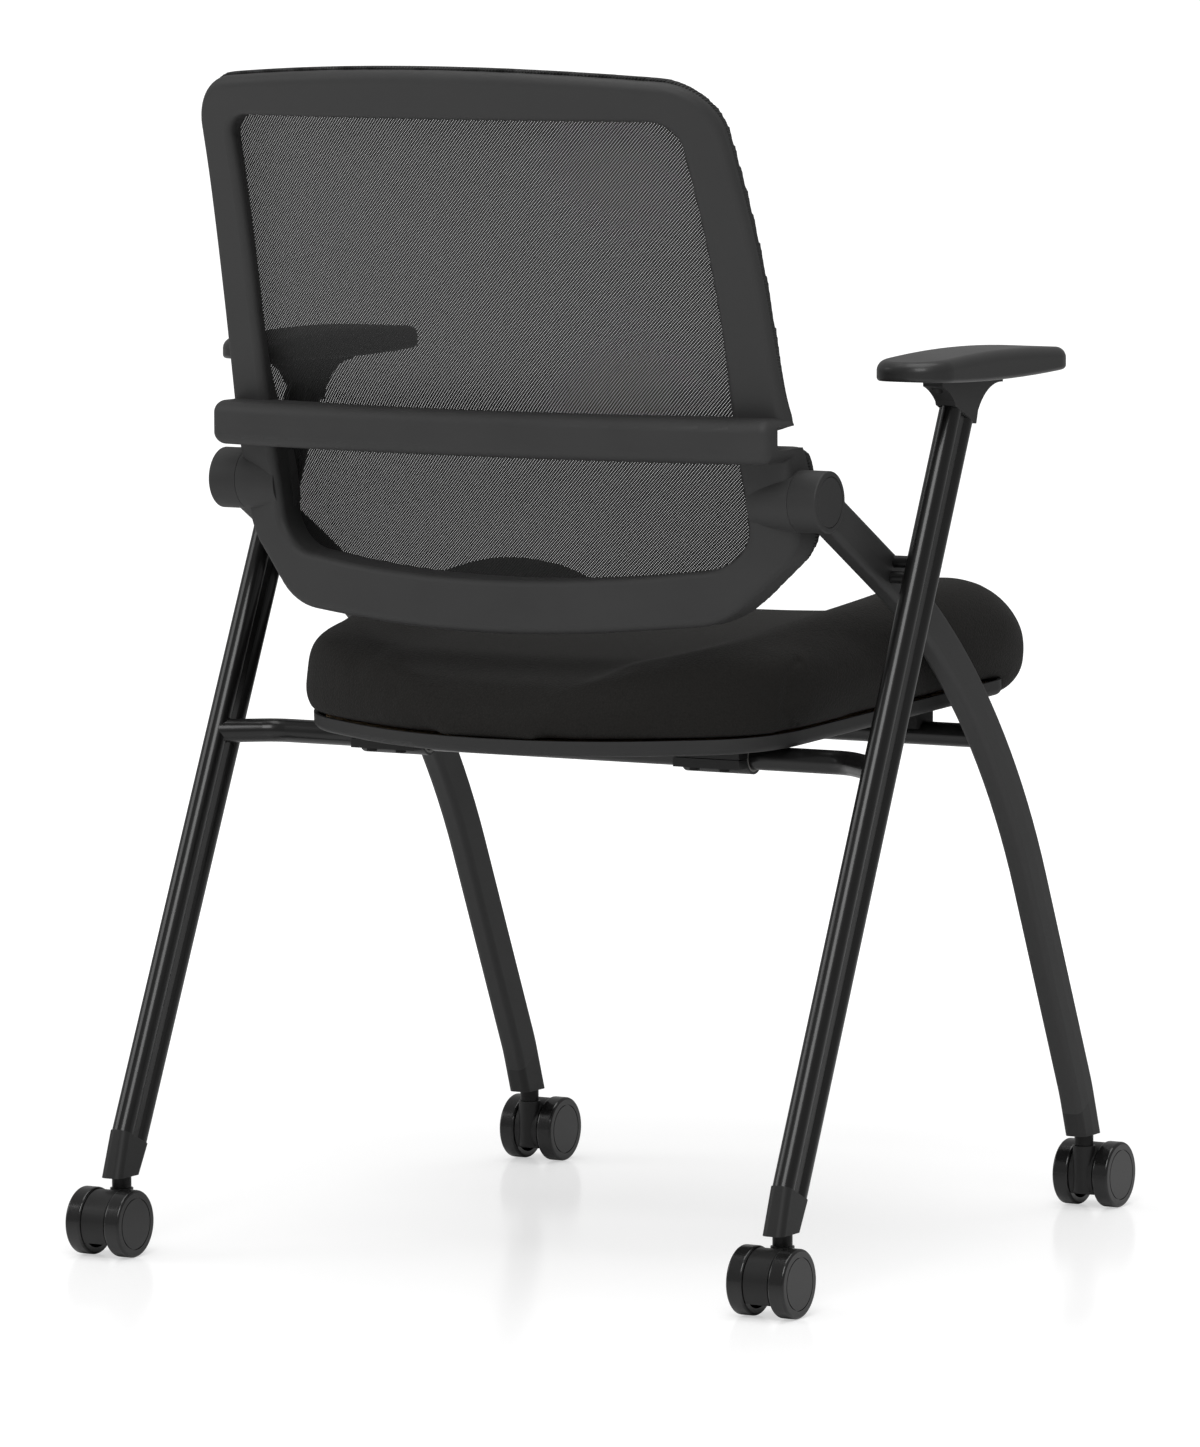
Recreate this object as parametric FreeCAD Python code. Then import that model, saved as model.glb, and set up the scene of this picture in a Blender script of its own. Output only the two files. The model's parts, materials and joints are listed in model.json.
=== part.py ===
import FreeCAD, Part
import math
import os

# Nesting chair on four twin-wheel casters, in millimetres.
# The floor is Z = 0 and +Z is up. The sitter faces -Y, so the seat's front is at -Y and the backrest at +Y.
# The sitter's left is +X. The chair is the same on both sides of X = 0.
# Each piece is built once for the left side and mirrored for the right.

Vec = FreeCAD.Vector
X_AXIS = Vec(1, 0, 0)
Y_AXIS = Vec(0, 1, 0)
Z_AXIS = Vec(0, 0, 1)

# Clearances
running_gap = 0.05          # radial, shaft in hole
plug_gap = 0.15             # a spigot in the tube that it fills
soft_gap = 0.3              # a soft piece to its neighbour
face_gap = 0.4              # two faces that turn past each other

# Casters
wheel_radius = 25.0
wheel_width = 13.0
wheel_edge = 2.0            # bevel at the tread's rims
wheel_wall = 2.6
wheel_cap_radius = 18.5
wheel_cap_groove = 0.8
hood_radius = 23.6
hood_wall = 2.2
hood_width = 19.4
hood_web = 4.0
hood_side_gap = 0.6
hood_open_height = 11.0     # the hood's skirt stops this high above the floor
caster_trail = 16.7
axle_radius = 3.0
axle_boss_radius = 6.0
axle_bore_depth = 10.0
stem_radius = 5.5
stem_bore_depth = 17.0
collar_radius = 7.2
socket_radius = 8.6
socket_bottom = 13.0
socket_top = 48.2
ferrule_bottom = 57.0
rear_stem_x = 279.1
rear_stem_y = 265.4
front_stem_x = 244.6
front_stem_y = -265.4

# Rear legs: a straight steel tube with a figure-eight section
rear_leg_x = 279.0
rear_leg_lean = 24.93       # degrees from upright, the top towards the front
rear_leg_foot_y = 255.0
rear_leg_foot_z = 84.5
rear_leg_length = 592.3
lobe_radius = 8.1
lobe_spacing = 19.4
neck_half = 5.4             # half the thickness between the two lobes
leg_wall = 1.6
spigot_length = 28.0
rear_ferrule_y = 267.3      # centre of the ferrule's lower face
rear_ferrule_depth = 31.0
ferrule_width = 17.6
ferrule_top_width = 16.4
ferrule_corner = 6.0

# Front legs: one bent tube from the backrest hub down to the front caster
front_leg_x = 245.0
front_leg_width = 17.4
front_leg_depth = 29.0
front_leg_corner = 5.0
front_leg_wall = 2.2
front_leg_ridge = 0.4
arm_angle = 59.85           # degrees from upright
arm_length = 123.2
knee_radius = 545.0
shin_angle = 24.35
shin_length = 174.0
ankle_radius = 150.0
foot_angle = 19.0
foot_length = 60.0
front_ferrule_rear_z = 81.0
front_ferrule_front_z = 99.5
solid_arm_length = 45.0     # the arm is solid this far from the hub

# Hubs that carry the backrest
hub_y = 153.3
hub_z = 567.0
hub_radius = 22.5
hub_inner_x = 233.4
hub_outer_x = 256.4
hub_edge = 1.6
hub_cap_radius = 18.3
hub_cap_thickness = 3.0
hub_cap_gap = 0.25
hub_cavity_radius = 16.5
hub_floor = 4.0
pin_radius = 6.0
pin_inner_x = 203.0
pin_head_radius = 9.0
pin_head_thickness = 3.5
bush_wall = 2.0
torsion_ring_inner = 9.0
torsion_ring_length = 9.0

# Cross tubes
cross_tube_radius = 8.8
cross_tube_wall = 1.5
rear_tube_y = 102.0
rear_tube_z = 374.4
rear_tube_bend_x = 232.0
rear_tube_bend_radius = 34.0
rear_tube_bend = 39.0       # degrees towards the rear
front_tube_y = -101.0
front_tube_z = 375.3

# Studs that join a front leg to a rear leg
stud_radius = 4.5
stud_pitch = 12.1
stud_y = 54.5
stud_z = 511.5

# Armrests
arm_pad_x = 279.0
arm_pad_width = 60.0
arm_pad_front = -130.0
arm_pad_rear = 91.0
arm_pad_end_radius = 27.0
arm_pad_edge = 8.0
arm_pad_low_edge = 3.0
arm_pad_top_ends = 663.5
arm_pad_top_middle = 668.0
arm_pad_under = [(91.0, 650.0), (-15.0, 646.6), (-130.0, 649.3)]   # three points (Y, Z) of the underside's arc
arm_base_margin = 11.0
arm_base_thickness = 7.0
bracket_plate_pocket = 3.0  # how far the bracket's top plate is let into the pad's base
bracket_plate_thickness = 4.0
bracket_plate_width = 30.0
bracket_plate_front = -58.0
bracket_plate_rear = 46.0
bracket_thickness = 16.2
bracket_edge = 6.5
arm_screw_front = -41.0
arm_screw_rear = 34.0
arm_screw_radius = 2.0
arm_screw_head_radius = 3.8
arm_screw_head_height = 2.2

# Seat: everything on it is laid out level, with the seam at Z = 0, and then tipped up at the front
seat_tilt = 3.434           # degrees
seat_seam_z = 402.0         # height of the seam at Y = 0
# Corners of the seam's plan on the left side, rear to front: X, Y, radius of the rounding
seat_rear_corners = [
    (0.0, 243.0, 296.0),
    (199.2, 143.4, 80.0),
]
seat_front_corner = (238.8, -256.0, 90.0)
pan_front_corner = (230.8, -172.0, 16.0)
pan_depth = 11.5
pan_wall = 3.0
pan_edge = 5.0
board_thickness = 6.0
board_margin = 6.0
cushion_under_in = 13.0     # the underside is this much narrower than the seam
cushion_bulge = 7.0
cushion_side_round = 30.0
dish_share = 0.45           # the dish reaches this far out
dish_lift = 0.1
# Slices of the cushion: Y, height at the shoulders, height in the middle, height of the underside,
# and how far out the shoulders' top lies, as a share of the half width
cushion_slices = [
    (206.5, 22.0, 20.0, -4.0, 0.80),
    (203.0, 33.0, 31.0, -11.0, 0.82),
    (195.0, 44.0, 40.0, -15.0, 0.84),
    (182.0, 52.0, 45.0, -15.0, 0.86),
    (162.0, 57.5, 47.0, -15.0, 0.88),
    (135.0, 61.5, 47.5, -15.0, 0.90),
    (100.0, 64.5, 47.0, -15.0, 0.90),
    (50.0, 68.5, 46.0, -15.0, 0.90),
    (-20.0, 72.5, 44.0, -15.0, 0.90),
    (-90.0, 76.0, 42.0, -15.0, 0.88),
    (-140.0, 75.0, 40.5, -15.0, 0.82),
    (-180.0, 68.5, 38.5, -15.0, 0.77),
    (-208.0, 58.0, 35.5, -15.0, 0.75),
    (-228.0, 46.5, 30.5, -15.0, 0.74),
    (-244.0, 33.0, 23.0, -14.0, 0.74),
    (-253.0, 19.0, 14.0, -9.0, 0.74),
    (-255.6, 8.0, 6.0, -4.0, 0.74),
]

# Clamps that hold the seat on the rear cross tube, and its rests on the front one
clamp_inner_x = 110.0
clamp_outer_x = 165.0
clamp_radius = 12.2
clamp_split = 0.6
clamp_bush_wall = 1.5
clamp_foot_depth = 46.0
clamp_lug_depth = 7.0
pan_window_gap = 0.4
seat_screw_radius = 2.0
seat_screw_head_radius = 4.0
seat_screw_spread = 12.5
seat_screw_y = 17.8         # from the tube's centre
rest_pad_x = 150.0
rest_pad_length = 46.0
rest_pad_width = 26.0

# Backrest: a moulded frame, curved in plan, with a mesh stretched over its front
# Rows of the rear face at the side bars: height, Y there, and the frame's thickness at that height
back_rows = [
    (430.0, 181.0, 34.0),
    (480.0, 174.5, 35.5),
    (520.0, 171.5, 36.0),
    (560.0, 176.0, 36.0),
    (590.0, 184.5, 35.5),
    (610.0, 190.0, 30.0),
    (630.0, 194.5, 21.0),
    (650.0, 199.0, 16.5),
    (700.0, 210.5, 14.5),
    (760.0, 227.0, 15.5),
    (820.0, 248.0, 18.0),
    (860.0, 265.0, 19.5),
    (900.0, 284.0, 20.0),
]
back_row_x = 190.0
back_plan_radius = 650.0
back_slab_half = 262.0
# Corners of the frame's front view on the left side, top to bottom: X, Z, radius of the rounding
frame_corners = [
    (0.0, 881.0, 2284.0),
    (214.5, 866.5, 42.0),
    (226.8, 742.0, 1500.0),
    (232.6, 605.0, 400.0),
    (232.6, 530.5, 45.0),
    (181.0, 476.8, 55.0),
    (0.0, 461.0, 1200.0),
]
# The same for the edging: it stands above the frame at the top and is notched at the waist
edging_corners = [
    (0.0, 884.3, 2284.0),
    (212.5, 869.0, 44.0),
    (226.8, 742.0, 1500.0),
    (229.6, 621.5, 10.0),
    (207.0, 614.5, 3.5),
    (207.5, 606.0, 3.5),
    (232.9, 605.5, 10.0),
    (232.6, 533.0, 45.0),
    (181.0, 479.3, 55.0),
    (0.0, 463.5, 1200.0),
]
# Corners of the notch itself, cut into the frame's edge
notch_corners = [
    (260.0, 630.2, 1.0),
    (260.0, 605.0, 1.0),
    (207.5, 606.0, 3.5),
    (207.0, 614.5, 3.5),
]
# The opening at the rear face, in the same way. Its sides widen towards the front.
opening_corners = [
    (185.5, 840.3, 18.0),
    (191.8, 690.0, 800.0),
    (193.8, 519.5, 30.0),
    (0.0, 493.6, 1180.0),
]
opening_draft = 0.2         # how much each side opens for each step forwards
opening_rear = [(520.0, 172.0), (830.0, 252.0)]    # height and Y of the rear face beside the opening
notch_rear = 191.0          # the notch ends ahead of this Y
frame_outer_edge = 7.0
frame_inner_edge = 5.0
crossbar_top = 628.0
crossbar_low = 595.5
crossbar_half = 234.5
crossbar_rear_end = 205.0
crossbar_rear_middle = 230.0
crossbar_front_end = 168.0
crossbar_front_middle = 203.0
crossbar_corner = 8.0
crossbar_edge = 9.0
boss_inner_x = 200.0
edging_width = 11.0
edging_depth = 8.0
edging_proud = 1.4
mesh_thickness = 1.0
mesh_gap = 0.1


def mirrored(shape):
    """The same piece on the other side of the chair."""
    return shape.mirror(Vec(0, 0, 0), X_AXIS)


def box(low, high):
    size = [high[i] - low[i] for i in range(3)]
    return Part.makeBox(size[0], size[1], size[2], Vec(*low))


def rod_x(radius, x_low, x_high, y, z):
    """A cylinder along X."""
    return Part.makeCylinder(radius, x_high - x_low, Vec(x_low, y, z), X_AXIS)


def rod_z(radius, x, y, z_low, z_high):
    """A cylinder along Z."""
    return Part.makeCylinder(radius, z_high - z_low, Vec(x, y, z_low), Z_AXIS)


def line(a, b):
    return Part.LineSegment(a, b).toShape()


def arc(a, middle, b):
    return Part.Arc(a, middle, b).toShape()


def face_of(edges):
    return Part.Face(Part.Wire(edges))


def merged(shapes):
    """One solid from touching or crossing solids."""
    whole = shapes[0]
    for shape in shapes[1:]:
        whole = whole.fuse(shape)
    whole = whole.removeSplitter()
    return whole.Solids[0] if len(whole.Solids) == 1 else whole


def group(shapes):
    return Part.makeCompound(shapes)


def both_sides(corners):
    """The left side's corners, followed by the same on the right side in turned order."""
    return corners + [(-x, y, radius) for x, y, radius in reversed(corners) if x > 0.0]


def pointing(start, end):
    """The direction from one point to another, of length 1."""
    run = end[0] - start[0]
    rise = end[1] - start[1]
    length = math.hypot(run, rise)
    return (run / length, rise / length)


def corner_arc(corners, index):
    """Start, middle, end and centre of the rounding at one corner of a closed outline."""
    x, y, radius = corners[index]
    back = pointing(corners[index], corners[index - 1])
    ahead = pointing(corners[index], corners[(index + 1) % len(corners)])
    half = 0.5 * math.acos(back[0] * ahead[0] + back[1] * ahead[1])
    reach = radius / math.tan(half)
    inward = pointing((0.0, 0.0), (back[0] + ahead[0], back[1] + ahead[1]))
    to_centre = radius / math.sin(half)
    return (
        (x + back[0] * reach, y + back[1] * reach),
        (x + inward[0] * (to_centre - radius), y + inward[1] * (to_centre - radius)),
        (x + ahead[0] * reach, y + ahead[1] * reach),
        (x + inward[0] * to_centre, y + inward[1] * to_centre),
    )


def outline_edges(corners, place):
    """Arcs and lines round a closed outline. place turns a point of the outline into a point in space."""
    arcs = [corner_arc(corners, index) for index in range(len(corners))]
    edges = []
    for index, (start, middle, end, _) in enumerate(arcs):
        edges.append(arc(place(*start), place(*middle), place(*end)))
        following = arcs[(index + 1) % len(arcs)][0]
        edges.append(line(place(*end), place(*following)))
    return edges


def moved_in(corners, inset):
    """The same outline moved inwards. The corners run clockwise."""
    moved = []
    for index in range(len(corners)):
        x, y, radius = corners[index]
        before = pointing(corners[index - 1], corners[index])
        after = pointing(corners[index], corners[(index + 1) % len(corners)])
        share = inset / (1.0 + before[0] * after[0] + before[1] * after[1])
        turns_right = before[0] * after[1] - before[1] * after[0] < 0.0
        new_radius = radius - inset if turns_right else radius + inset
        moved.append((x + share * (before[1] + after[1]), y - share * (before[0] + after[0]), max(new_radius, 0.5)))
    return moved


def half_width(corners, y):
    """Half the width of a closed outline at this Y."""
    arcs = [corner_arc(corners, index) for index in range(len(corners))]
    widest = 0.0
    for index, (start, _, end, centre) in enumerate(arcs):
        radius = math.hypot(start[0] - centre[0], start[1] - centre[1])
        following = arcs[(index + 1) % len(arcs)][0]
        middle = arcs[index][1]
        if min(start[1], end[1]) <= y <= max(start[1], middle[1], end[1]) and abs(y - centre[1]) < radius:
            widest = max(widest, centre[0] + math.sqrt(radius ** 2 - (y - centre[1]) ** 2))
        if following[1] <= y <= end[1] and end[1] > following[1]:
            share = (end[1] - y) / (end[1] - following[1])
            widest = max(widest, end[0] + share * (following[0] - end[0]))
    return widest


def circle_through(points):
    """Centre and radius of the circle through three (y, z) points."""
    (ay, az), (by, bz), (cy, cz) = points
    d = 2.0 * (ay * (bz - cz) + by * (cz - az) + cy * (az - bz))
    a = ay ** 2 + az ** 2
    b = by ** 2 + bz ** 2
    c = cy ** 2 + cz ** 2
    y = (a * (bz - cz) + b * (cz - az) + c * (az - bz)) / d
    z = (a * (cy - by) + b * (ay - cy) + c * (by - ay)) / d
    return (y, z, math.hypot(ay - y, az - z))


def rounded_rectangle(half_x, half_u, corner, ridge=0.0):
    """Corners of a rounded rectangle as (x, u) edges: lines and quarter arcs, with a low ridge on its +x side."""
    k = corner * (1.0 - math.sqrt(0.5))
    x_in = half_x - corner
    u_in = half_u - corner
    pieces = []
    if ridge > 0.0:
        pieces.append(((half_x, -u_in), (half_x + ridge, 0.0)))
        pieces.append(((half_x + ridge, 0.0), (half_x, u_in)))
    else:
        pieces.append(((half_x, -u_in), (half_x, u_in)))
    pieces.append(((half_x, u_in), (half_x - k, half_u - k), (x_in, half_u)))
    pieces.append(((x_in, half_u), (-x_in, half_u)))
    pieces.append(((-x_in, half_u), (-half_x + k, half_u - k), (-half_x, u_in)))
    pieces.append(((-half_x, u_in), (-half_x, -u_in)))
    pieces.append(((-half_x, -u_in), (-half_x + k, -half_u + k), (-x_in, -half_u)))
    pieces.append(((-x_in, -half_u), (x_in, -half_u)))
    pieces.append(((x_in, -half_u), (half_x - k, -half_u + k), (half_x, -u_in)))
    return pieces


def placed_edges(pieces, centre, u_axis):
    """The (x, u) edges laid out in space: x along X, u along u_axis."""
    edges = []
    for piece in pieces:
        points = [centre + X_AXIS * x + u_axis * u for x, u in piece]
        if len(points) == 2:
            edges.append(line(points[0], points[1]))
        else:
            edges.append(arc(points[0], points[1], points[2]))
    return edges


# Rear leg

def lean_direction():
    a = math.radians(rear_leg_lean)
    return Vec(0, -math.sin(a), math.cos(a))


def lean_across():
    a = math.radians(rear_leg_lean)
    return Vec(0, math.cos(a), math.sin(a))


def leg_point(distance):
    """A point on the rear leg's axis, this far up from its foot."""
    return Vec(rear_leg_x, rear_leg_foot_y, rear_leg_foot_z) + lean_direction() * distance


def leg_section(inset):
    """The figure-eight outline, moved in by inset."""
    radius = lobe_radius - inset
    neck = neck_half - inset
    half = 0.5 * lobe_spacing
    reach = math.sqrt(radius ** 2 - neck ** 2)
    join = half - reach
    return [
        ((neck, -join), (neck, join)),
        ((neck, join), (radius, half), (0.0, half + radius)),
        ((0.0, half + radius), (-radius, half), (-neck, join)),
        ((-neck, join), (-neck, -join)),
        ((-neck, -join), (-radius, -half), (0.0, -half - radius)),
        ((0.0, -half - radius), (radius, -half), (neck, -join)),
    ]


def leg_prism(inset, start, length):
    edges = placed_edges(leg_section(inset), leg_point(start), lean_across())
    return face_of(edges).extrude(lean_direction() * length)


def make_rear_leg():
    outer = leg_prism(0.0, 0.0, rear_leg_length)
    return outer.cut(leg_prism(leg_wall, -1.0, rear_leg_length + 2.0))


def stem_bore(x, y):
    return rod_z(stem_radius + running_gap, x, y, ferrule_bottom - 1.0, ferrule_bottom + stem_bore_depth)


def make_rear_ferrule():
    upper = rounded_rectangle(0.5 * ferrule_top_width, 0.5 * lobe_spacing + lobe_radius, ferrule_corner)
    lower = rounded_rectangle(0.5 * ferrule_width, 0.5 * rear_ferrule_depth, ferrule_corner)
    wires = [
        Part.Wire(placed_edges(upper, leg_point(0.0), lean_across())),
        Part.Wire(placed_edges(lower, Vec(rear_leg_x, rear_ferrule_y, ferrule_bottom), Y_AXIS)),
    ]
    sleeve = Part.makeLoft(wires, True, True)
    plug = leg_prism(leg_wall + plug_gap, 0.0, spigot_length)
    return merged([sleeve, plug]).cut(stem_bore(rear_stem_x, rear_stem_y))


# Front leg

def front_leg_path():
    """Corners of the leg's line as (y, z, angle) and the arc centres between them."""
    stations = []
    angle = math.radians(arm_angle)
    y = hub_y
    z = hub_z
    stations.append((y, z, angle))
    for straight, radius, next_angle in (
            (arm_length, knee_radius, math.radians(shin_angle)),
            (shin_length, ankle_radius, math.radians(foot_angle)),
            (foot_length, 0.0, None)):
        y -= straight * math.sin(angle)
        z -= straight * math.cos(angle)
        stations.append((y, z, angle))
        if next_angle is not None:
            centre_y = y + radius * math.cos(angle)
            centre_z = z - radius * math.sin(angle)
            y = centre_y - radius * math.cos(next_angle)
            z = centre_z + radius * math.sin(next_angle)
            angle = next_angle
            stations.append((y, z, angle))
    return stations


def front_section(station, inset, ridge):
    y, z, angle = station
    pieces = rounded_rectangle(0.5 * front_leg_width - inset, 0.5 * front_leg_depth - inset,
                               front_leg_corner - min(inset, front_leg_corner - 1.0), ridge)
    across = Vec(0, math.cos(angle), -math.sin(angle))
    return face_of(placed_edges(pieces, Vec(front_leg_x, y, z), across))


def front_leg_sweep(inset, ridge):
    stations = front_leg_path()
    parts = []
    for index in (0, 2, 4):
        start = stations[index]
        end = stations[index + 1]
        way = Vec(0, end[0] - start[0], end[1] - start[1])
        parts.append(front_section(start, inset, ridge).extrude(way))
    for index, radius in ((1, knee_radius), (3, ankle_radius)):
        y, z, angle = stations[index]
        turn = math.degrees(angle - stations[index + 1][2])
        centre = Vec(0, y + radius * math.cos(angle), z - radius * math.sin(angle))
        parts.append(front_section(stations[index], inset, ridge).revolve(centre, X_AXIS, turn))
    return merged(parts)


def ferrule_plane_space():
    """Everything below the slanting joint between a front leg and its ferrule."""
    rear_y = front_stem_y + 0.5 * front_leg_depth
    front_y = front_stem_y - 0.5 * front_leg_depth
    slope = (front_ferrule_front_z - front_ferrule_rear_z) / (front_y - rear_y)
    past = 20.0
    low_y = rear_y + past
    high_y = front_y - past
    x_low = front_leg_x - front_leg_width
    points = [
        Vec(x_low, low_y, front_ferrule_rear_z + slope * (low_y - rear_y)),
        Vec(x_low, high_y, front_ferrule_rear_z + slope * (high_y - rear_y)),
        Vec(x_low, high_y, ferrule_bottom),
        Vec(x_low, low_y, ferrule_bottom),
    ]
    edges = [line(points[i], points[(i + 1) % 4]) for i in range(4)]
    return face_of(edges).extrude(Vec(2.0 * front_leg_width, 0, 0))


def make_front_leg(housing_space):
    outer = front_leg_sweep(0.0, front_leg_ridge)
    inner = front_leg_sweep(front_leg_wall, 0.0)
    stations = front_leg_path()
    angle = stations[0][2]
    arm_block = box((front_leg_x - 40.0, hub_y - solid_arm_length * math.sin(angle), hub_z - 80.0),
                    (front_leg_x + 40.0, hub_y + 60.0, hub_z + 60.0))
    inner = inner.cut(arm_block)
    below = box((front_leg_x - 80.0, front_stem_y - 120.0, -40.0), (front_leg_x + 80.0, front_stem_y + 200.0, ferrule_bottom))
    return outer.cut(inner).cut(housing_space).cut(ferrule_plane_space()).cut(below)


def make_front_ferrule():
    sleeve = front_leg_sweep(0.0, front_leg_ridge).common(ferrule_plane_space())
    reach = 60.0
    top_z = front_ferrule_front_z + spigot_length - 10.0
    window = box((front_leg_x - reach, front_stem_y - reach, ferrule_bottom),
                 (front_leg_x + reach, front_stem_y + reach, top_z))
    plug = front_leg_sweep(front_leg_wall + plug_gap, 0.0).common(window)
    return merged([sleeve, plug]).cut(stem_bore(front_stem_x, front_stem_y))


# Hubs

def housing_outer():
    return rod_x(hub_radius, hub_inner_x, hub_outer_x, hub_y, hub_z)


def make_hub_housing():
    body = housing_outer()
    edges = [e for e in body.Edges if e.Closed and abs(e.CenterOfMass.x - hub_outer_x) < 0.01]
    body = body.makeFillet(hub_edge, edges)
    cavity = rod_x(hub_cavity_radius, hub_inner_x + hub_floor, hub_outer_x + 1.0, hub_y, hub_z)
    recess = rod_x(hub_cap_radius + hub_cap_gap, hub_outer_x - hub_cap_thickness, hub_outer_x + 1.0, hub_y, hub_z)
    bore = rod_x(pin_radius + running_gap, hub_inner_x - 1.0, hub_outer_x, hub_y, hub_z)
    return body.cut(cavity).cut(recess).cut(bore)


def make_hub_cap():
    cap = rod_x(hub_cap_radius, hub_outer_x - hub_cap_thickness, hub_outer_x, hub_y, hub_z)
    edges = [e for e in cap.Edges if e.Closed and abs(e.CenterOfMass.x - hub_outer_x) < 0.01]
    return cap.makeChamfer(0.5, edges)


def make_hub_pin():
    head_end = hub_outer_x - hub_cap_thickness - 0.2
    shank = rod_x(pin_radius, pin_inner_x, head_end, hub_y, hub_z)
    head = rod_x(pin_head_radius, head_end - pin_head_thickness, head_end, hub_y, hub_z)
    return merged([shank, head])


def make_torsion_ring():
    """A rubber ring round the pin, inside the housing."""
    start = hub_inner_x + hub_floor + 0.5
    end = start + torsion_ring_length
    ring = rod_x(hub_cavity_radius - plug_gap, start, end, hub_y, hub_z)
    return ring.cut(rod_x(torsion_ring_inner, start - 1.0, end + 1.0, hub_y, hub_z))


# Cross tubes and studs

def make_front_cross_tube(leg_space):
    half = front_leg_x
    outer = rod_x(cross_tube_radius, -half, half, front_tube_y, front_tube_z)
    inner = rod_x(cross_tube_radius - cross_tube_wall, -half - 1.0, half + 1.0, front_tube_y, front_tube_z)
    return outer.cut(inner).cut(leg_space).cut(mirrored(leg_space)).Solids[0]


def bent_rod(radius):
    """The rear cross tube's line with its two bent ends, as a solid rod."""
    turn = math.radians(rear_tube_bend)
    start = Vec(rear_tube_bend_x, rear_tube_y, rear_tube_z)
    centre = start + Vec(0, rear_tube_bend_radius, 0)
    bend = Part.Face(Part.Wire(Part.makeCircle(radius, start, X_AXIS))).revolve(centre, Z_AXIS, rear_tube_bend)
    end = start + Vec(rear_tube_bend_radius * math.sin(turn), rear_tube_bend_radius * (1.0 - math.cos(turn)), 0)
    way = Vec(math.cos(turn), math.sin(turn), 0)
    reach = (rear_leg_x - end.x) / math.cos(turn)
    tail = Part.makeCylinder(radius, reach, end, way)
    middle = rod_x(radius, -rear_tube_bend_x, rear_tube_bend_x, rear_tube_y, rear_tube_z)
    return merged([middle, bend, tail, mirrored(bend), mirrored(tail)])


def make_rear_cross_tube(leg_space):
    tube = bent_rod(cross_tube_radius).cut(bent_rod(cross_tube_radius - cross_tube_wall))
    tube = tube.cut(leg_space).cut(mirrored(leg_space))
    return max(tube.Solids, key=lambda solid: solid.Volume)


def stud_rods():
    a = lean_direction() * (0.5 * stud_pitch)
    rods = []
    for sign in (-1.0, 1.0):
        y = stud_y + a.y * sign
        z = stud_z + a.z * sign
        rods.append(rod_x(stud_radius, front_leg_x, rear_leg_x, y, z))
    return rods


def make_leg_studs(rear_leg_space, front_leg_space):
    left = []
    for rod in stud_rods():
        cut = rod.cut(rear_leg_space).cut(front_leg_space)
        left.append(max(cut.Solids, key=lambda solid: solid.Volume))
    return group(left + [mirrored(stud) for stud in left])


# Armrests

def arm_under_z(y, lift=0.0):
    """Height of the pad's underside, or of an arc this far above it."""
    centre_y, centre_z, radius = circle_through(arm_pad_under)
    return centre_z - math.sqrt((radius - lift) ** 2 - (y - centre_y) ** 2)


def under_arc(x, y_start, y_end, lift):
    y_middle = 0.5 * (y_start + y_end)
    points = [Vec(x, y, arm_under_z(y, lift)) for y in (y_start, y_middle, y_end)]
    return arc(points[0], points[1], points[2])


def under_layer(half, y_front, y_rear, low, high):
    """A curved plate that follows the pad's underside between two heights above it."""
    x = arm_pad_x - half
    return face_of([
        under_arc(x, y_front, y_rear, low),
        line(Vec(x, y_rear, arm_under_z(y_rear, low)), Vec(x, y_rear, arm_under_z(y_rear, high))),
        under_arc(x, y_rear, y_front, high),
        line(Vec(x, y_front, arm_under_z(y_front, high)), Vec(x, y_front, arm_under_z(y_front, low))),
    ]).extrude(Vec(2.0 * half, 0, 0))


def rounded_upright(body, radius):
    upright = [e for e in body.Edges if e.BoundBox.XLength < 0.001 and e.BoundBox.YLength < 0.001]
    return body.makeFillet(radius, upright)


def make_arm_pad():
    half = 0.5 * arm_pad_width
    x = arm_pad_x - half
    middle_y = 0.5 * (arm_pad_front + arm_pad_rear)
    body = face_of([
        under_arc(x, arm_pad_front, arm_pad_rear, 0.0),
        line(Vec(x, arm_pad_rear, arm_under_z(arm_pad_rear)), Vec(x, arm_pad_rear, arm_pad_top_ends)),
        arc(Vec(x, arm_pad_rear, arm_pad_top_ends), Vec(x, middle_y, arm_pad_top_middle),
            Vec(x, arm_pad_front, arm_pad_top_ends)),
        line(Vec(x, arm_pad_front, arm_pad_top_ends), Vec(x, arm_pad_front, arm_under_z(arm_pad_front))),
    ]).extrude(Vec(arm_pad_width, 0, 0))
    body = rounded_upright(body, arm_pad_end_radius)
    top = [e for e in body.Edges if e.BoundBox.ZMin > arm_pad_top_ends - 1.0]
    body = body.makeFillet(arm_pad_edge, top)
    low = [e for e in body.Edges if e.BoundBox.ZMax < arm_under_z(arm_pad_rear) + 1.0]
    body = body.makeFillet(arm_pad_low_edge, low)
    return body.cut(arm_base_shape(plug_gap)).cut(under_layer(12.0, -60.0, 60.0, -2.0, 0.5))


def arm_base_shape(grow):
    """The hard plate in the pad's underside, flush with it."""
    half = 0.5 * arm_pad_width - arm_base_margin + grow
    y_front = arm_pad_front + arm_base_margin - grow
    y_rear = arm_pad_rear - arm_base_margin + grow
    return rounded_upright(under_layer(half, y_front, y_rear, 0.0, arm_base_thickness + grow), half - 1.0)


def bracket_plate(grow):
    """The bracket's top plate, let into the pad's base."""
    half = 0.5 * bracket_plate_width + grow
    top = bracket_plate_pocket + grow
    plate = under_layer(half, bracket_plate_front - grow, bracket_plate_rear + grow, top - bracket_plate_thickness - grow, top)
    return rounded_upright(plate, half - 0.5)


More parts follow.
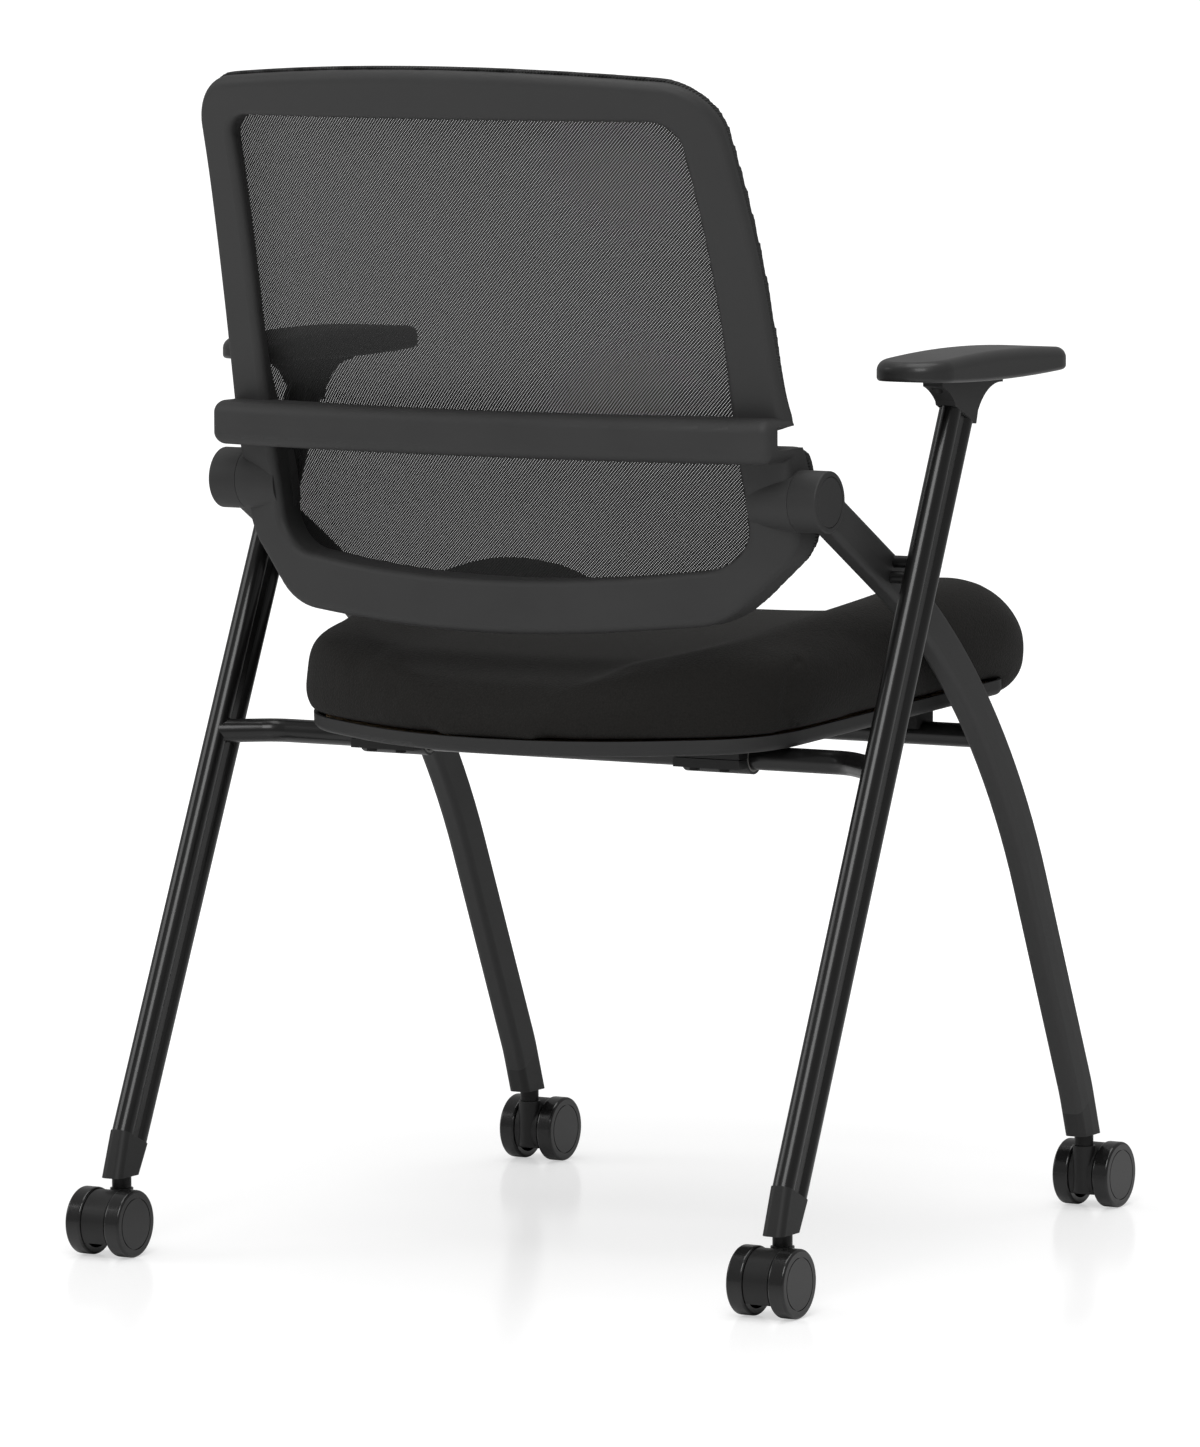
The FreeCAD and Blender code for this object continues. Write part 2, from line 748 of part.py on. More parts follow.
def make_arm_base():
    body = arm_base_shape(0.0).cut(bracket_plate(plug_gap))
    for y in (arm_screw_front, arm_screw_rear):
        body = body.cut(arm_screw(y, running_gap))
    return body


def arm_screw_seat(y):
    """Height of the underside of the bracket's plate, where a screw's head bears."""
    return arm_under_z(y, bracket_plate_pocket - bracket_plate_thickness)


def arm_screw(y, grow):
    """A screw up through the bracket's plate into the pad's base, grown by a clearance."""
    seat = arm_screw_seat(y)
    top = arm_under_z(y, arm_base_thickness) - 0.8
    shank = rod_z(arm_screw_radius + grow, arm_pad_x, y, seat - 1.0, top + grow)
    head = rod_z(arm_screw_head_radius + grow, arm_pad_x, y, seat - arm_screw_head_height, seat)
    return merged([shank, head])


def make_arm_bracket():
    top = leg_point(rear_leg_length)
    across = lean_across()
    half = 0.5 * lobe_spacing + lobe_radius
    rear_low = top + across * half
    front_low = top - across * half
    x = arm_pad_x - 0.5 * bracket_thickness

    def at(y, z):
        return Vec(x, y, z)

    rear_low = at(rear_low.y, rear_low.z)
    front_low = at(front_low.y, front_low.z)
    front_waist = at(-13.5, 623.5)
    rear_waist = at(22.5, 632.0)
    front_tip = at(-52.0, 642.2)
    rear_tip = at(41.0, 643.8)
    front_top = at(-52.0, arm_under_z(-52.0, 1.0))
    rear_top = at(41.0, arm_under_z(41.0, 1.0))
    web = face_of([
        line(rear_low, front_low),
        line(front_low, front_waist),
        arc(front_waist, at(-24.0, 634.6), front_tip),
        line(front_tip, front_top),
        line(front_top, rear_top),
        line(rear_top, rear_tip),
        arc(rear_tip, at(29.0, 637.8), rear_waist),
        line(rear_waist, rear_low),
    ]).extrude(Vec(bracket_thickness, 0, 0))
    plug = leg_prism(leg_wall + plug_gap, rear_leg_length - spigot_length, spigot_length)
    body = merged([web, bracket_plate(0.0), plug])
    for y in (arm_screw_front, arm_screw_rear):
        seat = arm_screw_seat(y)
        body = body.cut(arm_screw(y, running_gap))
        body = body.cut(rod_z(arm_screw_head_radius + 0.4, arm_pad_x, y, seat - 20.0, seat))
    return body


def make_arm_screws():
    left = [arm_screw(y, 0.0) for y in (arm_screw_front, arm_screw_rear)]
    return group(left + [mirrored(screw) for screw in left])


# Seat

def tipped(shape):
    """Tip a seat piece and raise it to its place."""
    copy = shape.copy()
    copy.rotate(Vec(0, 0, 0), X_AXIS, -seat_tilt)
    copy.translate(Vec(0, 0, seat_seam_z))
    return copy


def seam_z(y):
    """Height of the seam's plane at this Y."""
    return seat_seam_z - y * math.tan(math.radians(seat_tilt))


def plan_prism(corners, z_low, z_high):
    edges = outline_edges(corners, lambda x, y: Vec(x, y, z_low))
    return face_of(edges).extrude(Vec(0, 0, z_high - z_low))


def pan_plan(inset):
    return moved_in(both_sides(seat_rear_corners + [pan_front_corner]), inset)


def make_seat_pan():
    """A shallow tray under the cushion, with rounded lower edges."""
    body = plan_prism(pan_plan(0.0), -pan_depth, 0.0)
    low = [e for e in body.Edges if e.BoundBox.ZMax < -pan_depth + 0.1]
    body = body.makeFillet(pan_edge, low)
    hollow = plan_prism(pan_plan(pan_wall), -pan_depth + pan_wall, 1.0)
    pan = tipped(body.cut(hollow))
    window = rod_x(clamp_radius + pan_window_gap, clamp_inner_x - pan_window_gap, clamp_outer_x + pan_window_gap,
                   rear_tube_y, rear_tube_z)
    pan = pan.cut(window).cut(mirrored(window))
    for screw in seat_screws_placed(running_gap):
        pan = pan.cut(screw)
    return pan


def make_seat_board():
    """The stiff board that the cushion is built on, lying in the tray."""
    low = -pan_depth + pan_wall
    board = tipped(plan_prism(pan_plan(pan_wall + board_margin), low, low + board_thickness))
    for screw in seat_screws_placed(running_gap):
        board = board.cut(screw)
    return board


def ease(a, b):
    """Two equal arcs from a to b in a slice across the seat, level at both ends."""
    middle = (a + b) * 0.5
    edges = []
    for start, end, side in ((a, middle, 1.0), (middle, b, -1.0)):
        run = end - start
        slope = math.atan2(abs(run.z), abs(run.x))
        sag = 0.5 * run.Length * math.tan(0.5 * slope)
        rises = 1.0 if b.z > a.z else -1.0
        normal = Vec(abs(run.z), 0, abs(run.x))
        normal.normalize()
        normal.x *= 1.0 if run.x > 0.0 else -1.0
        normal.z *= -rises
        edges.append(arc(start, (start + end) * 0.5 + normal * (sag * side), end))
    return edges


def cushion_slice(y, shoulder, crown, low, share):
    """A slice across the cushion: drawn-in underside, full sides, round shoulders and a dished middle."""
    half = half_width(both_sides(seat_rear_corners + [seat_front_corner]), y)
    out = half + cushion_bulge
    drop = min(cushion_side_round, 0.5 * (shoulder - low))
    inner = share * half
    wide = out - inner
    under = Vec(half - cushion_under_in, y, low)
    side_top = Vec(out, y, shoulder - drop)
    side_middle = Vec(out, y, low + 0.62 * (shoulder - drop - low))
    turn = Vec(inner + 0.73 * wide, y, shoulder - 0.25 * drop)
    top = Vec(inner, y, shoulder)
    dish = Vec(dish_share * half, y, crown + dish_lift * (shoulder - crown))
    middle = Vec(0, y, crown)
    left = [Vec(-p.x, p.y, p.z) for p in (under, side_top, side_middle, turn, top, dish)]
    edges = [line(left[0], under)]
    edges.append(arc(under, side_middle, side_top))
    edges.append(arc(side_top, turn, top))
    edges += ease(top, dish)
    edges.append(arc(dish, middle, left[5]))
    edges += ease(left[5], left[4])
    edges.append(arc(left[4], left[3], left[1]))
    edges.append(arc(left[1], left[2], left[0]))
    return Part.Wire(edges)


def make_seat_cushion():
    """The upholstered cushion: high at the sides, dished in the middle and rolled down at the front."""
    body = Part.makeLoft([cushion_slice(*row) for row in cushion_slices], True, False)
    front = pan_front_corner[1] - soft_gap
    tray_space = box((-300.0, front, -60.0), (300.0, 300.0, soft_gap))
    return tipped(body.cut(tray_space))


# Clamps, bushes, screws and rests under the seat

def under_pan():
    """Everything below the pan's floor."""
    return tipped(box((-300.0, -300.0, -80.0), (300.0, 300.0, -pan_depth)))


def make_clamp_upper():
    """The half of a clamp above the tube: a crown that reaches into the pan's floor, and a flat foot."""
    crown = rod_x(clamp_radius, clamp_inner_x, clamp_outer_x, rear_tube_y, rear_tube_z)
    half = 0.5 * clamp_foot_depth
    foot = box((clamp_inner_x, rear_tube_y - half, rear_tube_z), (clamp_outer_x, rear_tube_y + half, seat_seam_z))
    body = merged([crown, foot.common(under_pan())])
    bore = rod_x(cross_tube_radius + clamp_bush_wall, clamp_inner_x - 1.0, clamp_outer_x + 1.0, rear_tube_y, rear_tube_z)
    lower_half = box((clamp_inner_x - 1.0, rear_tube_y - 60.0, rear_tube_z - 60.0),
                     (clamp_outer_x + 1.0, rear_tube_y + 60.0, rear_tube_z + 0.5 * clamp_split))
    body = body.cut(bore).cut(lower_half)
    for screw in seat_screws_placed(running_gap):
        body = body.cut(screw)
    return body


def make_clamp_lower():
    body = rod_x(clamp_radius, clamp_inner_x, clamp_outer_x, rear_tube_y, rear_tube_z)
    half = 0.5 * clamp_foot_depth
    lug_low = rear_tube_z - clamp_lug_depth
    lug = box((clamp_inner_x, rear_tube_y - half, lug_low), (clamp_outer_x, rear_tube_y + half, rear_tube_z + 1.0))
    body = merged([body, lug])
    bore = rod_x(cross_tube_radius + clamp_bush_wall, clamp_inner_x - 1.0, clamp_outer_x + 1.0, rear_tube_y, rear_tube_z)
    upper_half = box((clamp_inner_x - 1.0, rear_tube_y - 60.0, rear_tube_z - 0.5 * clamp_split),
                     (clamp_outer_x + 1.0, rear_tube_y + 60.0, rear_tube_z + 60.0))
    body = body.cut(bore).cut(upper_half)
    for screw in seat_screws_placed(running_gap):
        body = body.cut(screw)
    return body


def make_clamp_bushes():
    left = rod_x(cross_tube_radius + clamp_bush_wall, clamp_inner_x, clamp_outer_x, rear_tube_y, rear_tube_z)
    left = left.cut(rod_x(cross_tube_radius + running_gap, clamp_inner_x - 1.0, clamp_outer_x + 1.0,
                          rear_tube_y, rear_tube_z))
    return group([left, mirrored(left)])


def seat_screw(x, y, grow):
    """A screw from the clamp's lug up into the seat board, in the chair's frame."""
    lug_low = rear_tube_z - clamp_lug_depth
    board_top = seam_z(y) - pan_depth + pan_wall + board_thickness
    shank = rod_z(seat_screw_radius + grow, x, y, lug_low - 0.5, board_top - 1.0 + grow)
    head = rod_z(seat_screw_head_radius + grow, x, y, lug_low - 2.2, lug_low)
    return merged([shank, head])


def seat_screws_placed(grow):
    screws = []
    middle = 0.5 * (clamp_inner_x + clamp_outer_x)
    for x in (middle - seat_screw_spread, middle + seat_screw_spread):
        for y in (rear_tube_y - seat_screw_y, rear_tube_y + seat_screw_y):
            screw = seat_screw(x, y, grow)
            screws.append(screw)
            screws.append(mirrored(screw))
    return screws


def make_rest_pads():
    """Rubber rests under the pan, cupped to sit on the front cross tube."""
    half = 0.5 * rest_pad_width
    pad = box((rest_pad_x, front_tube_y - half, front_tube_z + 4.0),
              (rest_pad_x + rest_pad_length, front_tube_y + half, seat_seam_z + 40.0))
    pad = pad.common(under_pan())
    pad = pad.cut(rod_x(cross_tube_radius + soft_gap, 0.0, front_leg_x, front_tube_y, front_tube_z))
    return group([pad, mirrored(pad)])


# Backrest

def back_bow(x):
    """How far the rear face stands back at this X, beyond its place at the side bars."""
    return math.sqrt(back_plan_radius ** 2 - x ** 2) - math.sqrt(back_plan_radius ** 2 - back_row_x ** 2)


def back_section(z, y_row, front_off, rear_off):
    """A crescent in plan at one height, between two offsets from the rear face."""
    half = back_slab_half

    def at(x, off):
        return Vec(x, y_row + back_bow(x) + off, z)

    return Part.Wire([
        arc(at(-half, front_off), at(0, front_off), at(half, front_off)),
        line(at(half, front_off), at(half, rear_off)),
        arc(at(half, rear_off), at(0, rear_off), at(-half, rear_off)),
        line(at(-half, rear_off), at(-half, front_off)),
    ])


def back_slab(front, rear):
    """The curved slab between two layers. A layer is given as (share of the thickness, offset)."""
    wires = []
    for z, y_row, thickness in back_rows:
        front_off = -thickness * front[0] + front[1]
        rear_off = -thickness * rear[0] + rear[1]
        wires.append(back_section(z, y_row, front_off, rear_off))
    return Part.makeLoft(wires, True, False)


def back_prism(corners):
    """Everything within an outline of the backrest's front view."""
    edges = outline_edges(corners, lambda x, z: Vec(x, 0, z))
    return face_of(edges).extrude(Vec(0, 420.0, 0))


def opening_wire(step):
    """The opening's outline this far behind the frame's rear face."""
    (z_low, y_low), (z_high, y_high) = opening_rear
    slope = (y_high - y_low) / (z_high - z_low)
    corners = [(x - opening_draft * step if x > 0.0 else x, z, radius) for x, z, radius in opening_corners]
    return Part.Wire(outline_edges(both_sides(corners), lambda x, z: Vec(x, y_low + slope * (z - z_low) + step, z)))


def is_rear_edge(edge):
    """True for an edge that lies on the rear face of the backrest's slab."""
    middle = edge.valueAt(0.5 * (edge.FirstParameter + edge.LastParameter))
    if edge.BoundBox.YLength > 0.9 * edge.Length:
        return False
    for low, high in zip(back_rows, back_rows[1:]):
        if low[0] <= middle.z <= high[0]:
            share = (middle.z - low[0]) / (high[0] - low[0])
            row_y = low[1] + share * (high[1] - low[1])
            thickness = low[2] + share * (high[2] - low[2])
            return middle.y > row_y + back_bow(middle.x) - 0.3 * thickness
    return False


def is_by_opening(edge):
    """True for an edge that is not on the frame's outer outline."""
    top = opening_corners[0][1] + 5.0
    bottom = opening_corners[-1][1]
    return edge.BoundBox.ZMin > bottom and edge.BoundBox.ZMax < top


def make_crossbar():
    """The bar across the frame at its waist, standing out behind it."""
    z = crossbar_low
    bar = face_of([
        arc(Vec(-crossbar_half, crossbar_rear_end, z), Vec(0, crossbar_rear_middle, z),
            Vec(crossbar_half, crossbar_rear_end, z)),
        line(Vec(crossbar_half, crossbar_rear_end, z), Vec(crossbar_half, crossbar_front_end, z)),
        arc(Vec(crossbar_half, crossbar_front_end, z), Vec(0, crossbar_front_middle, z),
            Vec(-crossbar_half, crossbar_front_end, z)),
        line(Vec(-crossbar_half, crossbar_front_end, z), Vec(-crossbar_half, crossbar_rear_end, z)),
    ]).extrude(Vec(0, 0, crossbar_top - crossbar_low))
    upright = [e for e in bar.Edges
               if abs(e.tangentAt(e.FirstParameter).z) > 0.99 and e.CenterOfMass.y > crossbar_rear_end - 1.0]
    bar = bar.makeFillet(crossbar_corner, upright)
    rounded = [e for e in bar.Edges if e.BoundBox.ZLength < 0.01 and e.BoundBox.YMax > crossbar_front_middle + 0.5]
    ends = [e for e in bar.Edges
            if e.BoundBox.ZLength < 0.01 and e.BoundBox.XLength < 0.01 and e.BoundBox.YLength > 5.0]
    corners = [e for e in bar.Edges
               if e.BoundBox.ZLength < 0.01 and e.BoundBox.YMin > crossbar_rear_end - crossbar_corner - 6.0
               and e.BoundBox.XLength < 2.0 * crossbar_corner]
    chosen = []
    for edge in rounded + ends + corners:
        if not any(edge.isSame(other) for other in chosen):
            chosen.append(edge)
    return bar.makeFillet(crossbar_edge, chosen)


def boss():
    return rod_x(hub_radius, boss_inner_x, hub_inner_x - face_gap, hub_y, hub_z)


def edging_ring(proud, depth):
    """A band round the frame's edge, from proud of its front face to depth behind that face."""
    slab = back_slab((1.0, -proud), (1.0, depth))
    outline = both_sides(edging_corners)
    return slab.common(back_prism(outline).cut(back_prism(moved_in(outline, edging_width))))


def mesh_side():
    """All that lies before the frame's front face, inside the edging."""
    slab = back_slab((1.0, -40.0), (1.0, 1.0))
    return slab.common(back_prism(moved_in(both_sides(edging_corners), edging_width)))


def edging_space():
    """What is cut from the frame to make room for the edging."""
    slab = back_slab((1.0, -2.0), (1.0, edging_depth))
    around = box((-300.0, 0.0, 400.0), (300.0, 420.0, 950.0))
    return slab.common(around.cut(back_prism(moved_in(both_sides(edging_corners), edging_width))))


def make_back_frame():
    slab = back_slab((1.0, 0.0), (0.0, 0.0)).common(back_prism(both_sides(frame_corners)))
    slab = slab.makeFillet(frame_outer_edge, [e for e in slab.Edges if is_rear_edge(e)])
    slab = slab.cut(Part.makeLoft([opening_wire(-80.0), opening_wire(80.0)], True, True))
    slab = slab.makeFillet(frame_inner_edge, [e for e in slab.Edges if is_rear_edge(e) and is_by_opening(e)])
    behind_mesh = back_slab((1.0, 6.0), (0.0, 80.0))
    bar = make_crossbar().common(behind_mesh)
    boss_left = boss().cut(mesh_side())
    body = merged([slab, bar, boss_left, mirrored(boss_left)]).cut(edging_space())
    notch = back_prism(notch_corners).common(box((0.0, 0.0, 0.0), (300.0, notch_rear, 900.0)))
    body = body.cut(notch).cut(mirrored(notch))
    bore = rod_x(pin_radius + running_gap + bush_wall, boss_inner_x + 1.5, hub_inner_x, hub_y, hub_z)
    return body.cut(bore).cut(mirrored(bore))


def make_back_mesh():
    slab = back_slab((1.0, -mesh_thickness - mesh_gap), (1.0, -mesh_gap))
    return slab.common(back_prism(moved_in(both_sides(edging_corners), edging_width)))


def make_pivot_bushes():
    x_low = boss_inner_x + 1.5
    x_high = hub_inner_x - face_gap
    outer = rod_x(pin_radius + running_gap + bush_wall, x_low, x_high, hub_y, hub_z)
    bush = outer.cut(rod_x(pin_radius + running_gap, x_low - 1.0, x_high + 1.0, hub_y, hub_z))
    return group([bush, mirrored(bush)])


# Casters. Each is drawn with its stem on the origin and its wheels trailing along +Y.

def make_stem(x, y):
    shank = rod_z(stem_radius, x, y, socket_bottom + 3.0, ferrule_bottom + stem_bore_depth - 0.5)
    collar = rod_z(collar_radius, x, y, socket_top + face_gap, ferrule_bottom)
    return merged([shank, collar])


def make_hood():
    half = 0.5 * hood_width
    y = caster_trail
    z = wheel_radius
    shell = rod_x(hood_radius, -half, half, y, z)
    inside = rod_x(hood_radius - hood_wall, -half - 1.0, half + 1.0, y, z)
    web = rod_x(hood_radius - 0.5, -0.5 * hood_web, 0.5 * hood_web, y, z)
    shell = merged([shell.cut(inside), web])
    skirt_cut = box((-half - 1.0, y - hood_radius - 1.0, -1.0), (half + 1.0, y + hood_radius + 1.0, hood_open_height))
    front_cut = box((-half - 1.0, y - hood_radius - 1.0, -1.0), (half + 1.0, -socket_radius + 1.0, socket_bottom + 10.0))
    shell = shell.cut(skirt_cut).cut(front_cut)
    socket = rod_z(socket_radius, 0, 0, socket_bottom, socket_top)
    axle_boss = rod_x(axle_boss_radius, -half, half, y, z)
    body = merged([shell, socket, axle_boss])
    body = body.cut(rod_z(stem_radius + running_gap, 0, 0, socket_bottom + 2.0, socket_top + 1.0))
    return body.cut(rod_x(axle_radius + running_gap, -half - 1.0, half + 1.0, y, z))


def make_axle():
    reach = 0.5 * hood_width + hood_side_gap + axle_bore_depth - 0.5
    return rod_x(axle_radius, -reach, reach, caster_trail, wheel_radius)


def make_wheel():
    """One wheel, on the caster's +X side: a tread with bevelled rims, a flat outer face and a hollow back."""
    inner = 0.5 * hood_width + hood_side_gap
    outer = inner + wheel_width
    y = caster_trail
    z = wheel_radius
    body = rod_x(wheel_radius, inner, outer, y, z)
    rims = [e for e in body.Edges if e.Closed and abs(e.Length - 2.0 * math.pi * wheel_radius) < 0.1]
    body = body.makeFillet(wheel_edge, rims)
    groove = rod_x(wheel_cap_radius + wheel_cap_groove, outer - 0.8, outer + 1.0, y, z)
    groove = groove.cut(rod_x(wheel_cap_radius, outer - 1.8, outer + 2.0, y, z))
    hollow = rod_x(wheel_radius - 2.0 * wheel_wall, inner - 1.0, outer - wheel_wall - 1.0, y, z)
    hub = rod_x(axle_boss_radius, inner, outer, y, z)
    bore = rod_x(axle_radius + running_gap, inner - 1.0, inner + axle_bore_depth, y, z)
    return body.cut(hollow.cut(hub)).cut(groove).cut(bore)


def place_caster(shape, x, y, trailing):
    """Put a caster's piece at its stem, with the wheels trailing towards trailing (+1 rear, -1 front)."""
    copy = shape.copy()
    if trailing < 0:
        copy.rotate(Vec(0, 0, 0), Z_AXIS, 180)
    copy.translate(Vec(x, y, 0))
    return copy


def make_casters(save):
    places = [
        ("rear_left", rear_stem_x, rear_stem_y, 1),
        ("rear_right", -rear_stem_x, rear_stem_y, 1),
        ("front_left", front_stem_x, front_stem_y, -1),
        ("front_right", -front_stem_x, front_stem_y, -1),
    ]
    hood = make_hood()
    axle = make_axle()
    wheel = make_wheel()
    for name, x, y, trailing in places:
        outward = 1 if x * trailing > 0 else -1
        wheels = (wheel, mirrored(wheel)) if outward > 0 else (mirrored(wheel), wheel)
        save("caster_stem_" + name, make_stem(x, y))
        save("caster_hood_" + name, place_caster(hood, x, y, trailing))
        save("caster_axle_" + name, place_caster(axle, x, y, trailing))
        save("outer_wheel_" + name, place_caster(wheels[0], x, y, trailing))
        save("inner_wheel_" + name, place_caster(wheels[1], x, y, trailing))


def save(name, shape):
    """Write one named piece to parts/."""
    shape.exportStep("parts/" + name + ".step")


def save_pair(name, shape):
    save(name + "_left", shape)
    save(name + "_right", mirrored(shape))


def main():
    os.makedirs("parts", exist_ok=True)
    rear_leg_space = leg_prism(0.0, 0.0, rear_leg_length)
    front_leg_space = front_leg_sweep(0.0, front_leg_ridge)

    save_pair("rear_leg", make_rear_leg())
    save_pair("rear_ferrule", make_rear_ferrule())
    save_pair("front_leg", make_front_leg(housing_outer()))
    save_pair("front_ferrule", make_front_ferrule())
    save_pair("hub_housing", make_hub_housing())
    save_pair("hub_cap", make_hub_cap())
    save_pair("hub_pin", make_hub_pin())
    ring = make_torsion_ring()
    save("torsion_rings", group([ring, mirrored(ring)]))
    save("rear_cross_tube", make_rear_cross_tube(rear_leg_space))
    save("front_cross_tube", make_front_cross_tube(front_leg_space))
    save("leg_studs", make_leg_studs(rear_leg_space, front_leg_space))

    save_pair("arm_bracket", make_arm_bracket())
    save_pair("arm_pad", make_arm_pad())
    save_pair("arm_pad_base", make_arm_base())
    save("arm_screws", make_arm_screws())

    save("seat_cushion", make_seat_cushion())
    save("seat_board", make_seat_board())
    save("seat_pan", make_seat_pan())
    save_pair("seat_clamp", make_clamp_upper())
    save_pair("clamp_strap", make_clamp_lower())
    save("clamp_bushes", make_clamp_bushes())
    save("seat_screws", group(seat_screws_placed(0.0)))
    save("seat_rests", make_rest_pads())

    save("back_frame", make_back_frame())
    save("back_mesh", make_back_mesh())
    save("mesh_edging", edging_ring(edging_proud, edging_depth))
    save("pivot_bushes", make_pivot_bushes())

    make_casters(save)


main()
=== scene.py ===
import json
import math

import bmesh
import bpy
from mathutils import Matrix, Vector
from mathutils.bvhtree import BVHTree


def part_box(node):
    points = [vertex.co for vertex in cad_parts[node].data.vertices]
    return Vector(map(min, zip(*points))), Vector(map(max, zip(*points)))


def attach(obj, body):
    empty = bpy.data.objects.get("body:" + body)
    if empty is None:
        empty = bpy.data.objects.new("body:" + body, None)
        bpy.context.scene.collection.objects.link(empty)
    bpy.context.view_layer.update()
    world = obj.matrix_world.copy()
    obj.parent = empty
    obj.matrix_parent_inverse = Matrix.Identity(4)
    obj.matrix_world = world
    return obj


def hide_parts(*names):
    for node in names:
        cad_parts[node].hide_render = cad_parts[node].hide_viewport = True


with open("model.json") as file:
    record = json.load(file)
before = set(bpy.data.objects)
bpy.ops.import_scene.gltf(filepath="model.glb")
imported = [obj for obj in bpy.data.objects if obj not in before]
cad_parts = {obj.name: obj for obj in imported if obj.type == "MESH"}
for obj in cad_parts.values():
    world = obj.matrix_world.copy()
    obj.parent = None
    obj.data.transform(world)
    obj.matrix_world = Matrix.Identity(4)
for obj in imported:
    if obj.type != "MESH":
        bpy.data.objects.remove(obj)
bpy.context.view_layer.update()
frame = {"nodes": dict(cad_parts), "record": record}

bl_info = {
    "name": "Nesting Chair Looks",
    "version": (1, 0, 0),
    "blender": (4, 5, 0),
    "location": "View3D > Sidebar > Chair",
    "description": "Cushion, stretched mesh, edging and finishes around the packed chair",
    "category": "Object",
}

# Sizes in metres unless a name says otherwise.
PAD_VOXEL = 0.005
PAD_SHRINK = 0.0025
PAD_CAP = 0.006
PAD_REST_Z = 0.412
PAD_BLEND_Z = 0.012
SEAM_X = 0.203
SEAM_DEPTH = 0.0016
SEAM_HALF_WIDTH = 0.0022
EDGING_VOXEL = 0.0017
MESH_ROWS = 56
MESH_COLUMNS = 44
CAMERA_PLACE = (-3.4526, 5.9472, 1.0955)
CAMERA_RIGHT = (-0.86347083, -0.50438744, -0.00338218)
CAMERA_UP = (0.04915532, -0.09081965, 0.99465348)
CAMERA_LENS = 231.34


# Shared shader groups. Each puts out masks or values only.

def new_group(name, inputs, outputs):
    group = bpy.data.node_groups.new(name, "ShaderNodeTree")
    for socket, kind, value in inputs:
        item = group.interface.new_socket(name=socket, in_out="INPUT", socket_type=kind)
        if value is not None:
            item.default_value = value
    for socket, kind in outputs:
        group.interface.new_socket(name=socket, in_out="OUTPUT", socket_type=kind)
    start = group.nodes.new("NodeGroupInput")
    end = group.nodes.new("NodeGroupOutput")
    return group, start, end


def math_node(tree, operation, first, second=None, third=None):
    """A Math node whose inputs are numbers or sockets."""
    node = tree.nodes.new("ShaderNodeMath")
    node.operation = operation
    for index, value in enumerate((first, second, third)):
        if value is None:
            continue
        if isinstance(value, (int, float)):
            node.inputs[index].default_value = value
        else:
            tree.links.new(value, node.inputs[index])
    return node.outputs[0]


def make_grain_group():
    """Fine moulding grain: a height and a slow blotch."""
    group, start, end = new_group(
        "FineGrain",
        [("Vector", "NodeSocketVector", None), ("Scale", "NodeSocketFloat", 1800.0)],
        [("Height", "NodeSocketFloat"), ("Blotch", "NodeSocketFloat")],
    )
    fine = group.nodes.new("ShaderNodeTexNoise")
    fine.inputs["Detail"].default_value = 3.0
    group.links.new(start.outputs["Vector"], fine.inputs["Vector"])
    group.links.new(start.outputs["Scale"], fine.inputs["Scale"])
    slow = group.nodes.new("ShaderNodeTexNoise")
    slow.inputs["Scale"].default_value = 22.0
    slow.inputs["Detail"].default_value = 4.0
    group.links.new(start.outputs["Vector"], slow.inputs["Vector"])
    group.links.new(fine.outputs["Fac"], end.inputs["Height"])
    group.links.new(slow.outputs["Fac"], end.inputs["Blotch"])
    return group


def make_wear_group():
    """A mask that is one along outside edges, broken up by noise."""
    group, start, end = new_group(
        "EdgeWear",
        [("Vector", "NodeSocketVector", None), ("Radius", "NodeSocketFloat", 0.0008), ("Amount", "NodeSocketFloat", 1.0)],
        [("Mask", "NodeSocketFloat")],
    )
    bevel = group.nodes.new("ShaderNodeBevel")
    bevel.samples = 4
    group.links.new(start.outputs["Radius"], bevel.inputs["Radius"])
    geometry = group.nodes.new("ShaderNodeNewGeometry")
    dot = group.nodes.new("ShaderNodeVectorMath")
    dot.operation = "DOT_PRODUCT"
    group.links.new(bevel.outputs["Normal"], dot.inputs[0])
    group.links.new(geometry.outputs["Normal"], dot.inputs[1])
    turn = math_node(group, "SUBTRACT", 1.0, dot.outputs["Value"])
    strong = math_node(group, "MULTIPLY", turn, 6.0)
    noise = group.nodes.new("ShaderNodeTexNoise")
    noise.inputs["Scale"].default_value = 260.0
    noise.inputs["Detail"].default_value = 4.0
    group.links.new(start.outputs["Vector"], noise.inputs["Vector"])
    broken = math_node(group, "MULTIPLY", strong, noise.outputs["Fac"])
    scaled = math_node(group, "MULTIPLY", broken, start.outputs["Amount"])
    limited = math_node(group, "MINIMUM", scaled, 1.0)
    group.links.new(limited, end.inputs["Mask"])
    return group


def make_dust_group():
    """A thin, patchy mask on faces that look up."""
    group, start, end = new_group(
        "Dust",
        [("Vector", "NodeSocketVector", None), ("Amount", "NodeSocketFloat", 0.3)],
        [("Mask", "NodeSocketFloat")],
    )
    geometry = group.nodes.new("ShaderNodeNewGeometry")
    parts = group.nodes.new("ShaderNodeSeparateXYZ")
    group.links.new(geometry.outputs["Normal"], parts.inputs[0])
    up = math_node(group, "MAXIMUM", parts.outputs["Z"], 0.0)
    noise = group.nodes.new("ShaderNodeTexNoise")
    noise.inputs["Scale"].default_value = 60.0
    noise.inputs["Detail"].default_value = 5.0
    group.links.new(start.outputs["Vector"], noise.inputs["Vector"])
    patchy = math_node(group, "MULTIPLY", up, noise.outputs["Fac"])
    scaled = math_node(group, "MULTIPLY", patchy, start.outputs["Amount"])
    group.links.new(scaled, end.inputs["Mask"])
    return group


